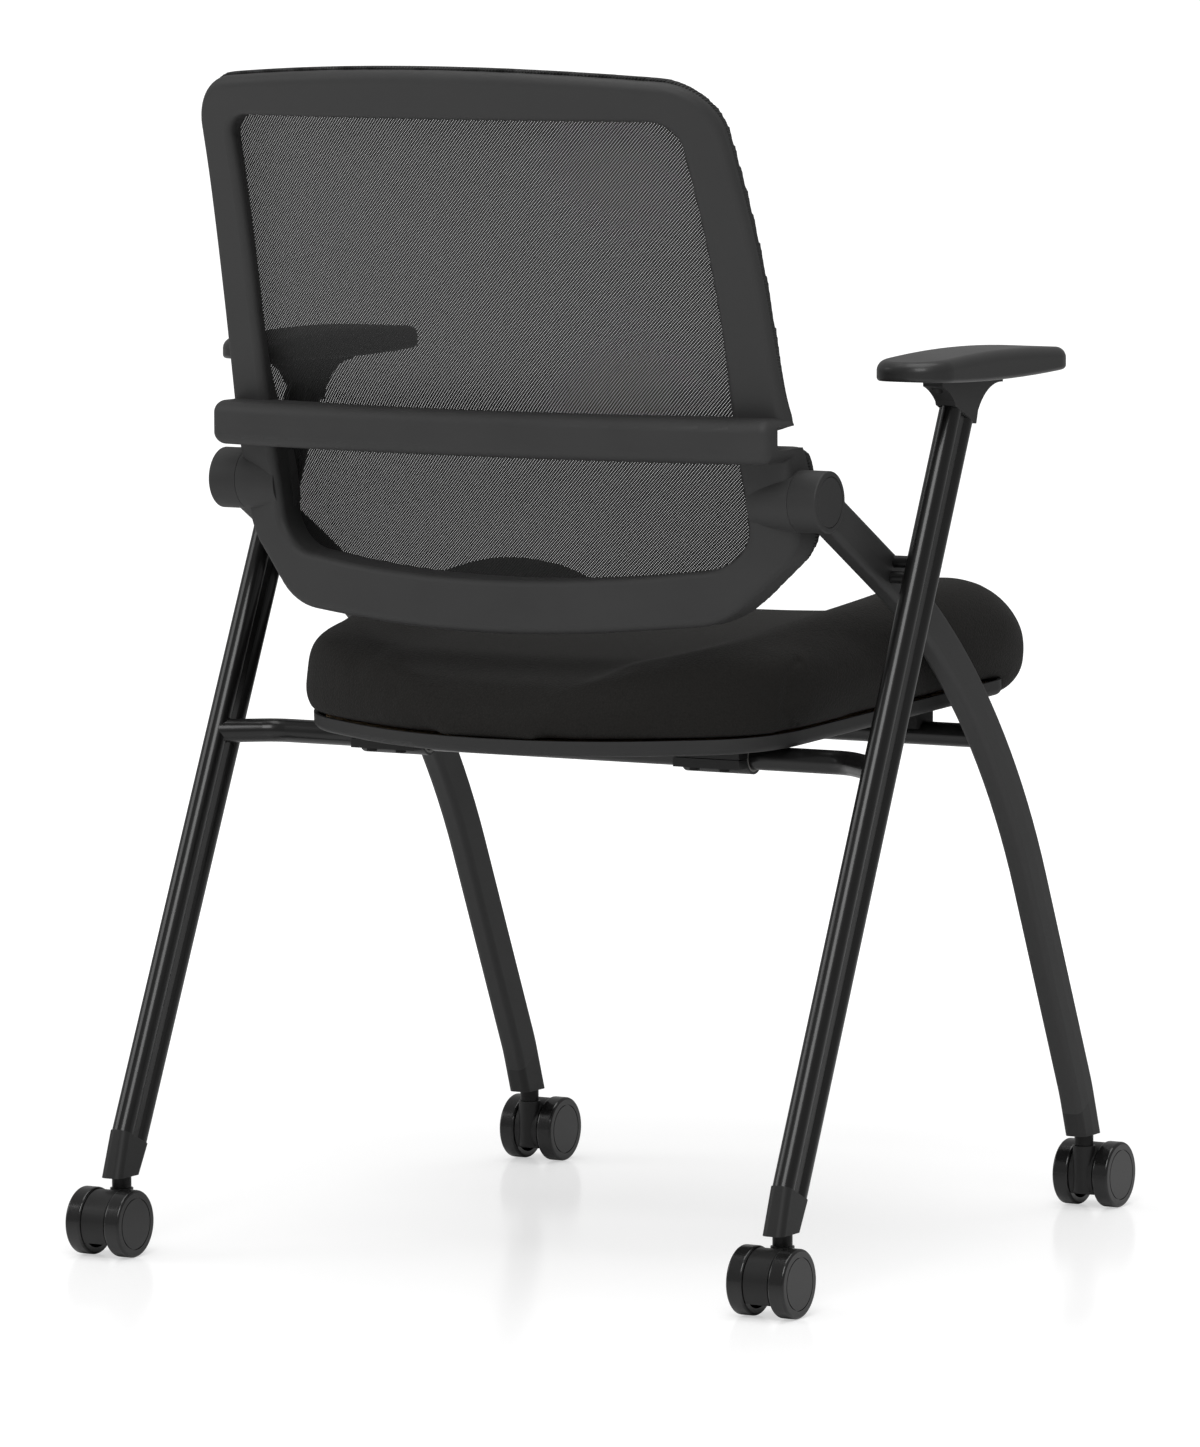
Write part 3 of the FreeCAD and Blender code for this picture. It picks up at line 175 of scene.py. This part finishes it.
def make_weave_group():
    """Two families of slanted strands: how open the cloth is, and how high it stands."""
    group, start, end = new_group(
        "Weave",
        [
            ("Across", "NodeSocketFloat", 0.0),
            ("Along", "NodeSocketFloat", 0.0),
            ("Pitch A", "NodeSocketFloat", 0.0017),
            ("Pitch B", "NodeSocketFloat", 0.0013),
            ("Gap A", "NodeSocketFloat", 0.5),
            ("Gap B", "NodeSocketFloat", 0.5),
        ],
        [("Open", "NodeSocketFloat"), ("Height", "NodeSocketFloat")],
    )
    rising = math_node(group, "ADD", start.outputs["Across"], start.outputs["Along"])
    falling = math_node(group, "SUBTRACT", start.outputs["Across"], start.outputs["Along"])
    masks = []
    heights = []
    for slant, pitch, gap in ((rising, "Pitch A", "Gap A"), (falling, "Pitch B", "Gap B")):
        turned = math_node(group, "MULTIPLY", slant, math.sqrt(0.5))
        counted = math_node(group, "DIVIDE", turned, start.outputs[pitch])
        angle = math_node(group, "MULTIPLY", counted, 2.0 * math.pi)
        wave = math_node(group, "COSINE", angle)
        unit = math_node(group, "MULTIPLY_ADD", wave, 0.5, 0.5)
        heights.append(unit)
        low = math_node(group, "SUBTRACT", start.outputs[gap], unit)
        sharp = math_node(group, "MULTIPLY_ADD", low, 5.0, 0.5)
        clamped = math_node(group, "MAXIMUM", math_node(group, "MINIMUM", sharp, 1.0), 0.0)
        masks.append(clamped)
    opened = math_node(group, "MULTIPLY", masks[0], masks[1])
    group.links.new(opened, end.inputs["Open"])
    group.links.new(math_node(group, "MAXIMUM", heights[0], heights[1]), end.inputs["Height"])
    return group


GROUPS = {}


def build_groups():
    GROUPS["FineGrain"] = make_grain_group()
    GROUPS["EdgeWear"] = make_wear_group()
    GROUPS["Dust"] = make_dust_group()
    GROUPS["Weave"] = make_weave_group()


def place_group(tree, name, values=None, vector=None):
    node = tree.nodes.new("ShaderNodeGroup")
    node.node_tree = GROUPS[name]
    for socket, value in (values or {}).items():
        node.inputs[socket].default_value = value
    if vector is not None:
        tree.links.new(vector, node.inputs["Vector"])
    return node


def mix_colours(tree, mask, first, second):
    """A colour between two: each a tuple or a socket."""
    node = tree.nodes.new("ShaderNodeMix")
    node.data_type = "RGBA"
    tree.links.new(mask, node.inputs[0])
    for index, value in ((6, first), (7, second)):
        if isinstance(value, tuple):
            node.inputs[index].default_value = (*value, 1.0)
        else:
            tree.links.new(value, node.inputs[index])
    return node.outputs[2]


def start_material(name):
    material = bpy.data.materials.new(name)
    material.use_nodes = True
    tree = material.node_tree
    shader = tree.nodes["Principled BSDF"]
    coordinates = tree.nodes.new("ShaderNodeTexCoord").outputs["Object"]
    return material, tree, shader, coordinates


def connect_bump(tree, shader, height, distance, strength=1.0):
    bump = tree.nodes.new("ShaderNodeBump")
    bump.inputs["Strength"].default_value = strength
    bump.inputs["Distance"].default_value = distance
    tree.links.new(height, bump.inputs["Height"])
    tree.links.new(bump.outputs["Normal"], shader.inputs["Normal"])


def hard_finish(name, colour, roughness, grain=1800.0, depth=0.00004, metallic=0.0, coat=0.0, wear=0.5, dust=0.1):
    """Moulded plastic, paint, steel or rubber: grain, blotches, worn edges and a little dust."""
    material, tree, shader, place = start_material(name)
    shader.inputs["Metallic"].default_value = metallic
    shader.inputs["Coat Weight"].default_value = coat
    shader.inputs["Coat Roughness"].default_value = 0.12
    shader.inputs["Specular IOR Level"].default_value = 0.35
    grained = place_group(tree, "FineGrain", {"Scale": grain}, place)
    worn = place_group(tree, "EdgeWear", {"Amount": wear}, place)
    dusty = place_group(tree, "Dust", {"Amount": dust}, place)
    darker = tuple(0.86 * c for c in colour)
    lighter = tuple(min(1.0, 1.12 * c + 0.001) for c in colour)
    base = mix_colours(tree, grained.outputs["Blotch"], darker, lighter)
    edge = tuple(min(1.0, 1.6 * c + 0.012) for c in colour)
    edged = mix_colours(tree, worn.outputs["Mask"], base, edge)
    dusted = mix_colours(tree, dusty.outputs["Mask"], edged, (0.11, 0.108, 0.105))
    tree.links.new(dusted, shader.inputs["Base Color"])
    rough = math_node(tree, "MULTIPLY_ADD", grained.outputs["Blotch"], 0.16, roughness - 0.08)
    tree.links.new(rough, shader.inputs["Roughness"])
    connect_bump(tree, shader, grained.outputs["Height"], depth)
    return material


def fabric_finish():
    """The seat's knitted upholstery: small slubs, a soft sheen and slow shade changes."""
    material, tree, shader, place = start_material("seat_fabric")
    shader.inputs["Roughness"].default_value = 0.9
    shader.inputs["Sheen Weight"].default_value = 0.04
    shader.inputs["Specular IOR Level"].default_value = 0.25
    shader.inputs["Sheen Roughness"].default_value = 0.5
    slubs = tree.nodes.new("ShaderNodeTexVoronoi")
    slubs.inputs["Scale"].default_value = 620.0
    tree.links.new(place, slubs.inputs["Vector"])
    grained = place_group(tree, "FineGrain", {"Scale": 900.0}, place)
    dusty = place_group(tree, "Dust", {"Amount": 0.02}, place)
    height = math_node(tree, "SUBTRACT", grained.outputs["Height"], slubs.outputs["Distance"])
    mask = math_node(tree, "MULTIPLY_ADD", height, 0.8, 0.6)
    limited = math_node(tree, "MAXIMUM", math_node(tree, "MINIMUM", mask, 1.0), 0.0)
    yarn = mix_colours(tree, limited, (0.0065, 0.0060, 0.0053), (0.0195, 0.0183, 0.0165))
    shaded = mix_colours(tree, grained.outputs["Blotch"], yarn, (0.0125, 0.0117, 0.0105))
    tree.links.new(mix_colours(tree, dusty.outputs["Mask"], shaded, (0.2, 0.195, 0.19)), shader.inputs["Base Color"])
    connect_bump(tree, shader, height, 0.0004, 0.8)
    return material


def mesh_finish():
    """The see-through back cloth: slanted strands with real gaps, painted lighter on their crests and darker where
    they dip, as painted highlight and painted shade.
    """
    material, tree, shader, place = start_material("back_weave")
    shader.inputs["Roughness"].default_value = 0.62
    parts = tree.nodes.new("ShaderNodeSeparateXYZ")
    tree.links.new(place, parts.inputs[0])
    weave = place_group(tree, "Weave", {"Gap A": 0.175, "Gap B": 0.155})
    tree.links.new(parts.outputs["X"], weave.inputs["Across"])
    tree.links.new(parts.outputs["Z"], weave.inputs["Along"])
    grained = place_group(tree, "FineGrain", {"Scale": 700.0}, place)
    # Painted highlight and painted shade: the strand colour runs from dark where a strand dips to light where it
    # stands high; the same height also drives the bump.
    strand_with_painted_shade = mix_colours(tree, weave.outputs["Height"], (0.004, 0.004, 0.004), (0.012, 0.012, 0.012))
    shaded = mix_colours(tree, grained.outputs["Blotch"], strand_with_painted_shade, (0.008, 0.008, 0.008))
    tree.links.new(shaded, shader.inputs["Base Color"])
    tree.links.new(math_node(tree, "SUBTRACT", 1.0, weave.outputs["Open"]), shader.inputs["Alpha"])
    connect_bump(tree, shader, weave.outputs["Height"], 0.0004)
    return material


def edging_finish():
    """The black ribbed band round the mesh: ribs run across it, painted lighter on their crests and darker in their
    troughs as painted highlight and painted shade.
    """
    material, tree, shader, place = start_material("ribbed_edging")
    shader.inputs["Roughness"].default_value = 0.5
    along = tree.nodes.new("ShaderNodeAttribute")
    along.attribute_name = "along"
    counted = math_node(tree, "DIVIDE", along.outputs["Fac"], 0.0026)
    wave = math_node(tree, "SINE", math_node(tree, "MULTIPLY", counted, 2.0 * math.pi))
    rib_height_and_painted_shade = math_node(tree, "MULTIPLY_ADD", wave, 0.5, 0.5)
    grained = place_group(tree, "FineGrain", {"Scale": 1500.0}, place)
    # Painted highlight and painted shade: the rib wave paints the crests lighter and the troughs darker; the same wave
    # also drives the bump.
    colour = mix_colours(tree, rib_height_and_painted_shade, (0.0035, 0.0035, 0.0035), (0.014, 0.014, 0.014))
    shaded = mix_colours(tree, grained.outputs["Blotch"], colour, (0.008, 0.008, 0.008))
    tree.links.new(shaded, shader.inputs["Base Color"])
    connect_bump(tree, shader, rib_height_and_painted_shade, 0.0005)
    return material


def wood_finish():
    """Plywood: long grain lines under clear lacquer."""
    material, tree, shader, place = start_material("birch_ply")
    shader.inputs["Roughness"].default_value = 0.55
    wave = tree.nodes.new("ShaderNodeTexWave")
    wave.inputs["Scale"].default_value = 40.0
    wave.inputs["Distortion"].default_value = 6.0
    tree.links.new(place, wave.inputs["Vector"])
    grained = place_group(tree, "FineGrain", {"Scale": 500.0}, place)
    lines = mix_colours(tree, wave.outputs["Fac"], (0.42, 0.27, 0.14), (0.60, 0.43, 0.26))
    tree.links.new(mix_colours(tree, grained.outputs["Blotch"], lines, (0.5, 0.34, 0.2)), shader.inputs["Base Color"])
    connect_bump(tree, shader, wave.outputs["Fac"], 0.0001)
    return material


# Slot, colour in linear light, roughness, and what else differs from the usual finish.
HARD_FINISHES = [
    ("black_tube", (0.004, 0.004, 0.004), 0.3, {"coat": 0.35, "wear": 0.25, "dust": 0.05, "depth": 0.00001}),
    ("dark_frame", (0.040, 0.040, 0.040), 0.52, {"wear": 0.4}),
    ("ferrule_plastic", (0.020, 0.020, 0.020), 0.45, {"wear": 0.4}),
    ("hub_plastic", (0.036, 0.036, 0.036), 0.55, {}),
    ("steel", (0.022, 0.022, 0.022), 0.36, {"metallic": 0.7, "wear": 0.6, "dust": 0.05}),
    ("black_screw", (0.02, 0.02, 0.02), 0.4, {"metallic": 0.6}),
    ("rubber", (0.011, 0.011, 0.011), 0.75, {"wear": 0.2}),
    ("hard_plastic", (0.018, 0.018, 0.018), 0.5, {}),
    ("arm_plastic", (0.026, 0.026, 0.026), 0.4, {"grain": 1500.0, "depth": 0.00004, "coat": 0.15}),
    ("pan_plastic", (0.030, 0.030, 0.030), 0.55, {"depth": 0.00006}),
    ("clamp_steel", (0.012, 0.012, 0.012), 0.42, {"coat": 0.2}),
    ("bush_plastic", (0.22, 0.22, 0.21), 0.5, {}),
    ("back_plastic", (0.041, 0.041, 0.041), 0.58, {"wear": 0.3, "dust": 0.08}),
    ("caster_plastic", (0.010, 0.010, 0.010), 0.4, {"coat": 0.15}),
    ("wheel_plastic", (0.007, 0.007, 0.007), 0.22, {"coat": 0.5, "wear": 0.2, "dust": 0.05}),
]


# Geometry helpers.

def new_piece(name, mesh):
    piece = bpy.data.objects.new(name, mesh)
    bpy.context.scene.collection.objects.link(piece)
    return piece


def welded_copy(node, name):
    """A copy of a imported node's mesh with its split vertices joined."""
    mesh = frame["nodes"][node].data.copy()
    mesh.materials.clear()
    build = bmesh.new()
    build.from_mesh(mesh)
    bmesh.ops.remove_doubles(build, verts=build.verts, dist=0.00001)
    build.to_mesh(mesh)
    build.free()
    for layer in list(mesh.attributes):
        if layer.name == "custom_normal":
            mesh.attributes.remove(layer)
    return new_piece(name, mesh)


def bake_modifiers(piece):
    """Applies every modifier to the piece's own mesh."""
    bpy.context.view_layer.update()
    evaluated = piece.evaluated_get(bpy.context.evaluated_depsgraph_get())
    mesh = bpy.data.meshes.new_from_object(evaluated)
    piece.modifiers.clear()
    piece.data = mesh


def remesh(piece, size):
    modifier = piece.modifiers.new("remesh", "REMESH")
    modifier.mode = "VOXEL"
    modifier.voxel_size = size
    bake_modifiers(piece)


def smooth_shape(piece, factor, rounds):
    modifier = piece.modifiers.new("smooth", "SMOOTH")
    modifier.factor = factor
    modifier.iterations = rounds
    bake_modifiers(piece)


def shade_smooth(piece):
    piece.data.polygons.foreach_set("use_smooth", [True] * len(piece.data.polygons))
    piece.data.update()


def set_material(piece, material):
    piece.data.materials.clear()
    piece.data.materials.append(material)


def surface_tree(node):
    """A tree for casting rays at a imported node."""
    build = bmesh.new()
    build.from_mesh(frame["nodes"][node].data)
    tree = BVHTree.FromBMesh(build)
    build.free()
    return tree


# The pieces.

def make_cushion(settings):
    """The upholstered seat, puffed by a cloth simulation, with a seam up each rear corner."""
    pad = welded_copy("seat_cushion", "seat_pad")
    for vertex, normal in [(v, v.normal.copy()) for v in pad.data.vertices]:
        above = (vertex.co.z - PAD_REST_Z) / PAD_BLEND_Z
        vertex.co -= normal * (PAD_SHRINK * min(1.0, max(0.0, above)))
    remesh(pad, PAD_VOXEL)
    smooth_shape(pad, 0.5, 4)
    puff(pad, settings)
    smooth_shape(pad, 0.5, 10)
    subdivide = pad.modifiers.new("subdivide", "SUBSURF")
    subdivide.levels = 1
    subdivide.render_levels = 1
    bake_modifiers(pad)
    sew_seams(pad)
    shade_smooth(pad)
    set_material(pad, fabric_finish())
    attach(pad, "seat")
    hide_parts("seat_cushion")


def puff(pad, settings):
    """Swells the pad, holding where it is drawn under, and caps how far each point moves."""
    before = [v.co.copy() for v in pad.data.vertices]
    held = pad.vertex_groups.new(name="held")
    for vertex in pad.data.vertices:
        under = vertex.normal.z < -0.35 or vertex.co.z < PAD_REST_Z
        held.add([vertex.index], 1.0 if under else 0.0, "REPLACE")
    cloth = pad.modifiers.new("cloth", "CLOTH")
    cloth.settings.vertex_group_mass = "held"
    cloth.settings.use_pressure = True
    cloth.settings.uniform_pressure_force = settings.pressure
    cloth.settings.effector_weights.gravity = 0.0
    cloth.settings.quality = 4
    cloth.collision_settings.use_collision = False
    cloth.point_cache.frame_start = 1
    cloth.point_cache.frame_end = 20
    for step in range(1, 21):
        bpy.context.scene.frame_set(step)
    bake_modifiers(pad)
    bpy.context.scene.frame_set(1)
    for vertex, start in zip(pad.data.vertices, before):
        move = vertex.co - start
        if move.length > PAD_CAP:
            vertex.co = start + move * (PAD_CAP / move.length)
    pad.vertex_groups.clear()


def sew_seams(pad):
    """Presses a groove where the back panel meets each side panel."""
    for vertex in pad.data.vertices:
        place = vertex.co
        if place.y < 0.1 or vertex.normal.z > 0.75 or vertex.normal.z < -0.6:
            continue
        off = (abs(place.x) - SEAM_X) / SEAM_HALF_WIDTH
        if abs(off) < 3.0:
            vertex.co = place - vertex.normal * (SEAM_DEPTH * math.exp(-off * off))


def front_point(tree, x, z):
    hit = tree.ray_cast(Vector((x, -1.0, z)), Vector((0.0, 1.0, 0.0)))
    return hit[0]


def half_width_at(tree, z):
    """How far the mesh reaches from the middle at a height, found by halving."""
    low, high = 0.0, 0.26
    for _ in range(22):
        middle = 0.5 * (low + high)
        if front_point(tree, middle, z) is None:
            high = middle
        else:
            low = middle
    return low


def make_mesh(settings):
    """The stretched back cloth: rows of points on the front face, denser at both ends."""
    tree = surface_tree("back_mesh")
    lowest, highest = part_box("back_mesh")
    build = bmesh.new()
    rows = []
    for row in range(MESH_ROWS + 1):
        share = 0.5 - 0.5 * math.cos(math.pi * (0.02 + 0.96 * row / MESH_ROWS))
        z = lowest.z + share * (highest.z - lowest.z)
        reach = half_width_at(tree, z) - 0.0004
        points = []
        for column in range(MESH_COLUMNS + 1):
            x = reach * (2.0 * column / MESH_COLUMNS - 1.0)
            place = front_point(tree, x, z)
            if place is None:
                raise RuntimeError("the back cloth has no surface at %.4f, %.4f" % (x, z))
            points.append(build.verts.new((x, place.y + 0.0005, z)))
        rows.append(points)
    for lower, upper in zip(rows, rows[1:]):
        for index in range(MESH_COLUMNS):
            build.faces.new((lower[index], lower[index + 1], upper[index + 1], upper[index]))
    bmesh.ops.recalc_face_normals(build, faces=build.faces)
    mesh = bpy.data.meshes.new("back_cloth")
    build.to_mesh(mesh)
    area = sum(f.calc_area() for f in build.faces)
    build.free()
    cloth = new_piece("back_cloth", mesh)
    shade_smooth(cloth)
    set_material(cloth, mesh_finish())
    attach(cloth, "back")
    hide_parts("back_mesh")


def make_edging():
    """The ribbed band: a smoothed copy that knows how far along the ring each point lies."""
    band = welded_copy("mesh_edging", "edging_band")
    remesh(band, EDGING_VOXEL)
    smooth_shape(band, 0.5, 3)
    middle = sum((v.co for v in band.data.vertices), Vector()) / len(band.data.vertices)
    bins = 720
    sums = [[Vector(), 0] for _ in range(bins)]
    angles = []
    for vertex in band.data.vertices:
        angle = math.atan2(vertex.co.x - middle.x, -(vertex.co.z - middle.z)) % (2.0 * math.pi)
        angles.append(angle)
        entry = sums[int(angle / (2.0 * math.pi) * bins) % bins]
        entry[0] += vertex.co
        entry[1] += 1
    centres = [total / max(count, 1) for total, count in sums]
    lengths = [0.0]
    for index in range(bins):
        lengths.append(lengths[-1] + (centres[(index + 1) % bins] - centres[index]).length)
    values = []
    for angle in angles:
        share = angle / (2.0 * math.pi) * bins
        index = min(int(share), bins - 1)
        values.append(lengths[index] + (share - index) * (lengths[index + 1] - lengths[index]))
    attribute = band.data.attributes.new("along", "FLOAT", "POINT")
    attribute.data.foreach_set("value", values)
    shade_smooth(band)
    set_material(band, edging_finish())
    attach(band, "back")
    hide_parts("mesh_edging")


def finish_nodes():
    """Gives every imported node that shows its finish."""
    made = {slot: hard_finish(slot + "_finish", colour, rough, **more) for slot, colour, rough, more in HARD_FINISHES}
    made["plywood"] = wood_finish()
    for entry in frame["record"]["subparts"]:
        material = made.get(entry["material_slot"])
        if material is not None:
            set_material(frame["nodes"][entry["node"]], material)


def make_stage():
    """A pale floor, a white surround, soft lights and the camera."""
    scene = bpy.context.scene
    world = bpy.data.worlds.new("studio")
    scene.world = world
    world.use_nodes = True
    background = world.node_tree.nodes["Background"]
    background.inputs["Color"].default_value = (1.0, 1.0, 1.0, 1.0)
    path = world.node_tree.nodes.new("ShaderNodeLightPath")
    bright = math_node(world.node_tree, "MULTIPLY_ADD", path.outputs["Is Camera Ray"], 0.9, 0.3)
    world.node_tree.links.new(bright, background.inputs["Strength"])
    build = bmesh.new()
    bmesh.ops.create_grid(build, x_segments=8, y_segments=8, size=60.0, matrix=Matrix.Translation((0.0, 0.0, -0.0003)))
    mesh = bpy.data.meshes.new("floor")
    build.to_mesh(mesh)
    build.free()
    floor = new_piece("floor", mesh)
    material, tree, shader, place = start_material("floor_paint")
    grained = place_group(tree, "FineGrain", {"Scale": 40.0}, place)
    pale = mix_colours(tree, grained.outputs["Blotch"], (0.93, 0.93, 0.93), (0.95, 0.95, 0.95))
    tree.links.new(pale, shader.inputs["Base Color"])
    shader.inputs["Roughness"].default_value = 0.16
    shader.inputs["Emission Color"].default_value = (1.0, 1.0, 1.0, 1.0)
    seen = tree.nodes.new("ShaderNodeLightPath").outputs["Is Camera Ray"]
    away = tree.nodes.new("ShaderNodeVectorMath")
    away.operation = "LENGTH"
    tree.links.new(place, away.inputs[0])
    far = math_node(tree, "MULTIPLY_ADD", away.outputs["Value"], 0.3, -0.15)
    spread = math_node(tree, "MINIMUM", math_node(tree, "MAXIMUM", far, 0.0), 0.35)
    glow = math_node(tree, "MULTIPLY", seen, math_node(tree, "ADD", spread, 0.5))
    tree.links.new(glow, shader.inputs["Emission Strength"])
    set_material(floor, material)
    for name, place, size, power in (
        ("key", (-1.6, 3.2, 3.4), 2.2, 72.0),
        ("left", (3.6, 2.0, 2.2), 2.0, 26.0),
        ("over", (0.0, 0.0, 4.2), 3.0, 62.0),
    ):
        data = bpy.data.lights.new(name, "AREA")
        data.shape = "SQUARE"
        data.size = size
        data.energy = power
        light = bpy.data.objects.new(name, data)
        light.location = place
        light.rotation_euler = (Vector((0.0, 0.0, 0.45)) - Vector(place)).to_track_quat("-Z", "Y").to_euler()
        scene.collection.objects.link(light)
    data = bpy.data.cameras.new("camera")
    data.lens = CAMERA_LENS
    data.sensor_width = 36.0
    data.clip_end = 200.0
    camera = bpy.data.objects.new("camera", data)
    right, up = Vector(CAMERA_RIGHT), Vector(CAMERA_UP)
    turn = Matrix((right, up, right.cross(up))).transposed()
    camera.matrix_world = Matrix.Translation(CAMERA_PLACE) @ turn.to_4x4()
    scene.collection.objects.link(camera)
    scene.camera = camera
    scene.view_settings.view_transform = "Standard"


# The add-on.

class ChairSettings(bpy.types.PropertyGroup):
    pressure: bpy.props.FloatProperty(
        name="Cushion pressure", description="Pressure that swells the seat cushion", default=4.0, min=0.0, soft_max=10.0
    )


class CHAIR_OT_cushion(bpy.types.Operator):
    """Make the seat cushion"""

    bl_idname = "chair.cushion"
    bl_label = "Seat Cushion"

    def execute(self, context):
        make_cushion(context.scene.chair_settings)
        return {"FINISHED"}


class CHAIR_OT_back_cloth(bpy.types.Operator):
    """Make the stretched back cloth"""

    bl_idname = "chair.back_cloth"
    bl_label = "Back Cloth"

    def execute(self, context):
        make_mesh(context.scene.chair_settings)
        return {"FINISHED"}


class CHAIR_OT_edging(bpy.types.Operator):
    """Make the ribbed edging round the back cloth"""

    bl_idname = "chair.edging"
    bl_label = "Ribbed Edging"

    def execute(self, context):
        make_edging()
        return {"FINISHED"}


class CHAIR_OT_finishes(bpy.types.Operator):
    """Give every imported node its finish"""

    bl_idname = "chair.finishes"
    bl_label = "Finishes"

    def execute(self, context):
        finish_nodes()
        return {"FINISHED"}


class CHAIR_OT_stage(bpy.types.Operator):
    """Make the floor, the lights and the camera"""

    bl_idname = "chair.stage"
    bl_label = "Stage"

    def execute(self, context):
        make_stage()
        return {"FINISHED"}


class CHAIR_PT_panel(bpy.types.Panel):
    """The chair's steps and settings"""

    bl_idname = "CHAIR_PT_panel"
    bl_label = "Nesting Chair"
    bl_space_type = "VIEW_3D"
    bl_region_type = "UI"
    bl_category = "Chair"

    def draw(self, context):
        layout = self.layout
        layout.prop(context.scene.chair_settings, "pressure")
        for step in ("cushion", "back_cloth", "edging", "finishes", "stage"):
            layout.operator("chair." + step)


CLASSES = (
    ChairSettings,
    CHAIR_OT_cushion,
    CHAIR_OT_back_cloth,
    CHAIR_OT_edging,
    CHAIR_OT_finishes,
    CHAIR_OT_stage,
    CHAIR_PT_panel,
)


def register():
    for cls in CLASSES:
        bpy.utils.register_class(cls)
    bpy.types.Scene.chair_settings = bpy.props.PointerProperty(type=ChairSettings)


def unregister():
    del bpy.types.Scene.chair_settings
    for cls in reversed(CLASSES):
        bpy.utils.unregister_class(cls)


def main():
    register()
    build_groups()
    bpy.ops.chair.finishes()
    bpy.ops.chair.cushion()
    bpy.ops.chair.back_cloth()
    bpy.ops.chair.edging()
    bpy.ops.chair.stage()


if __name__ == "__main__":
    main()
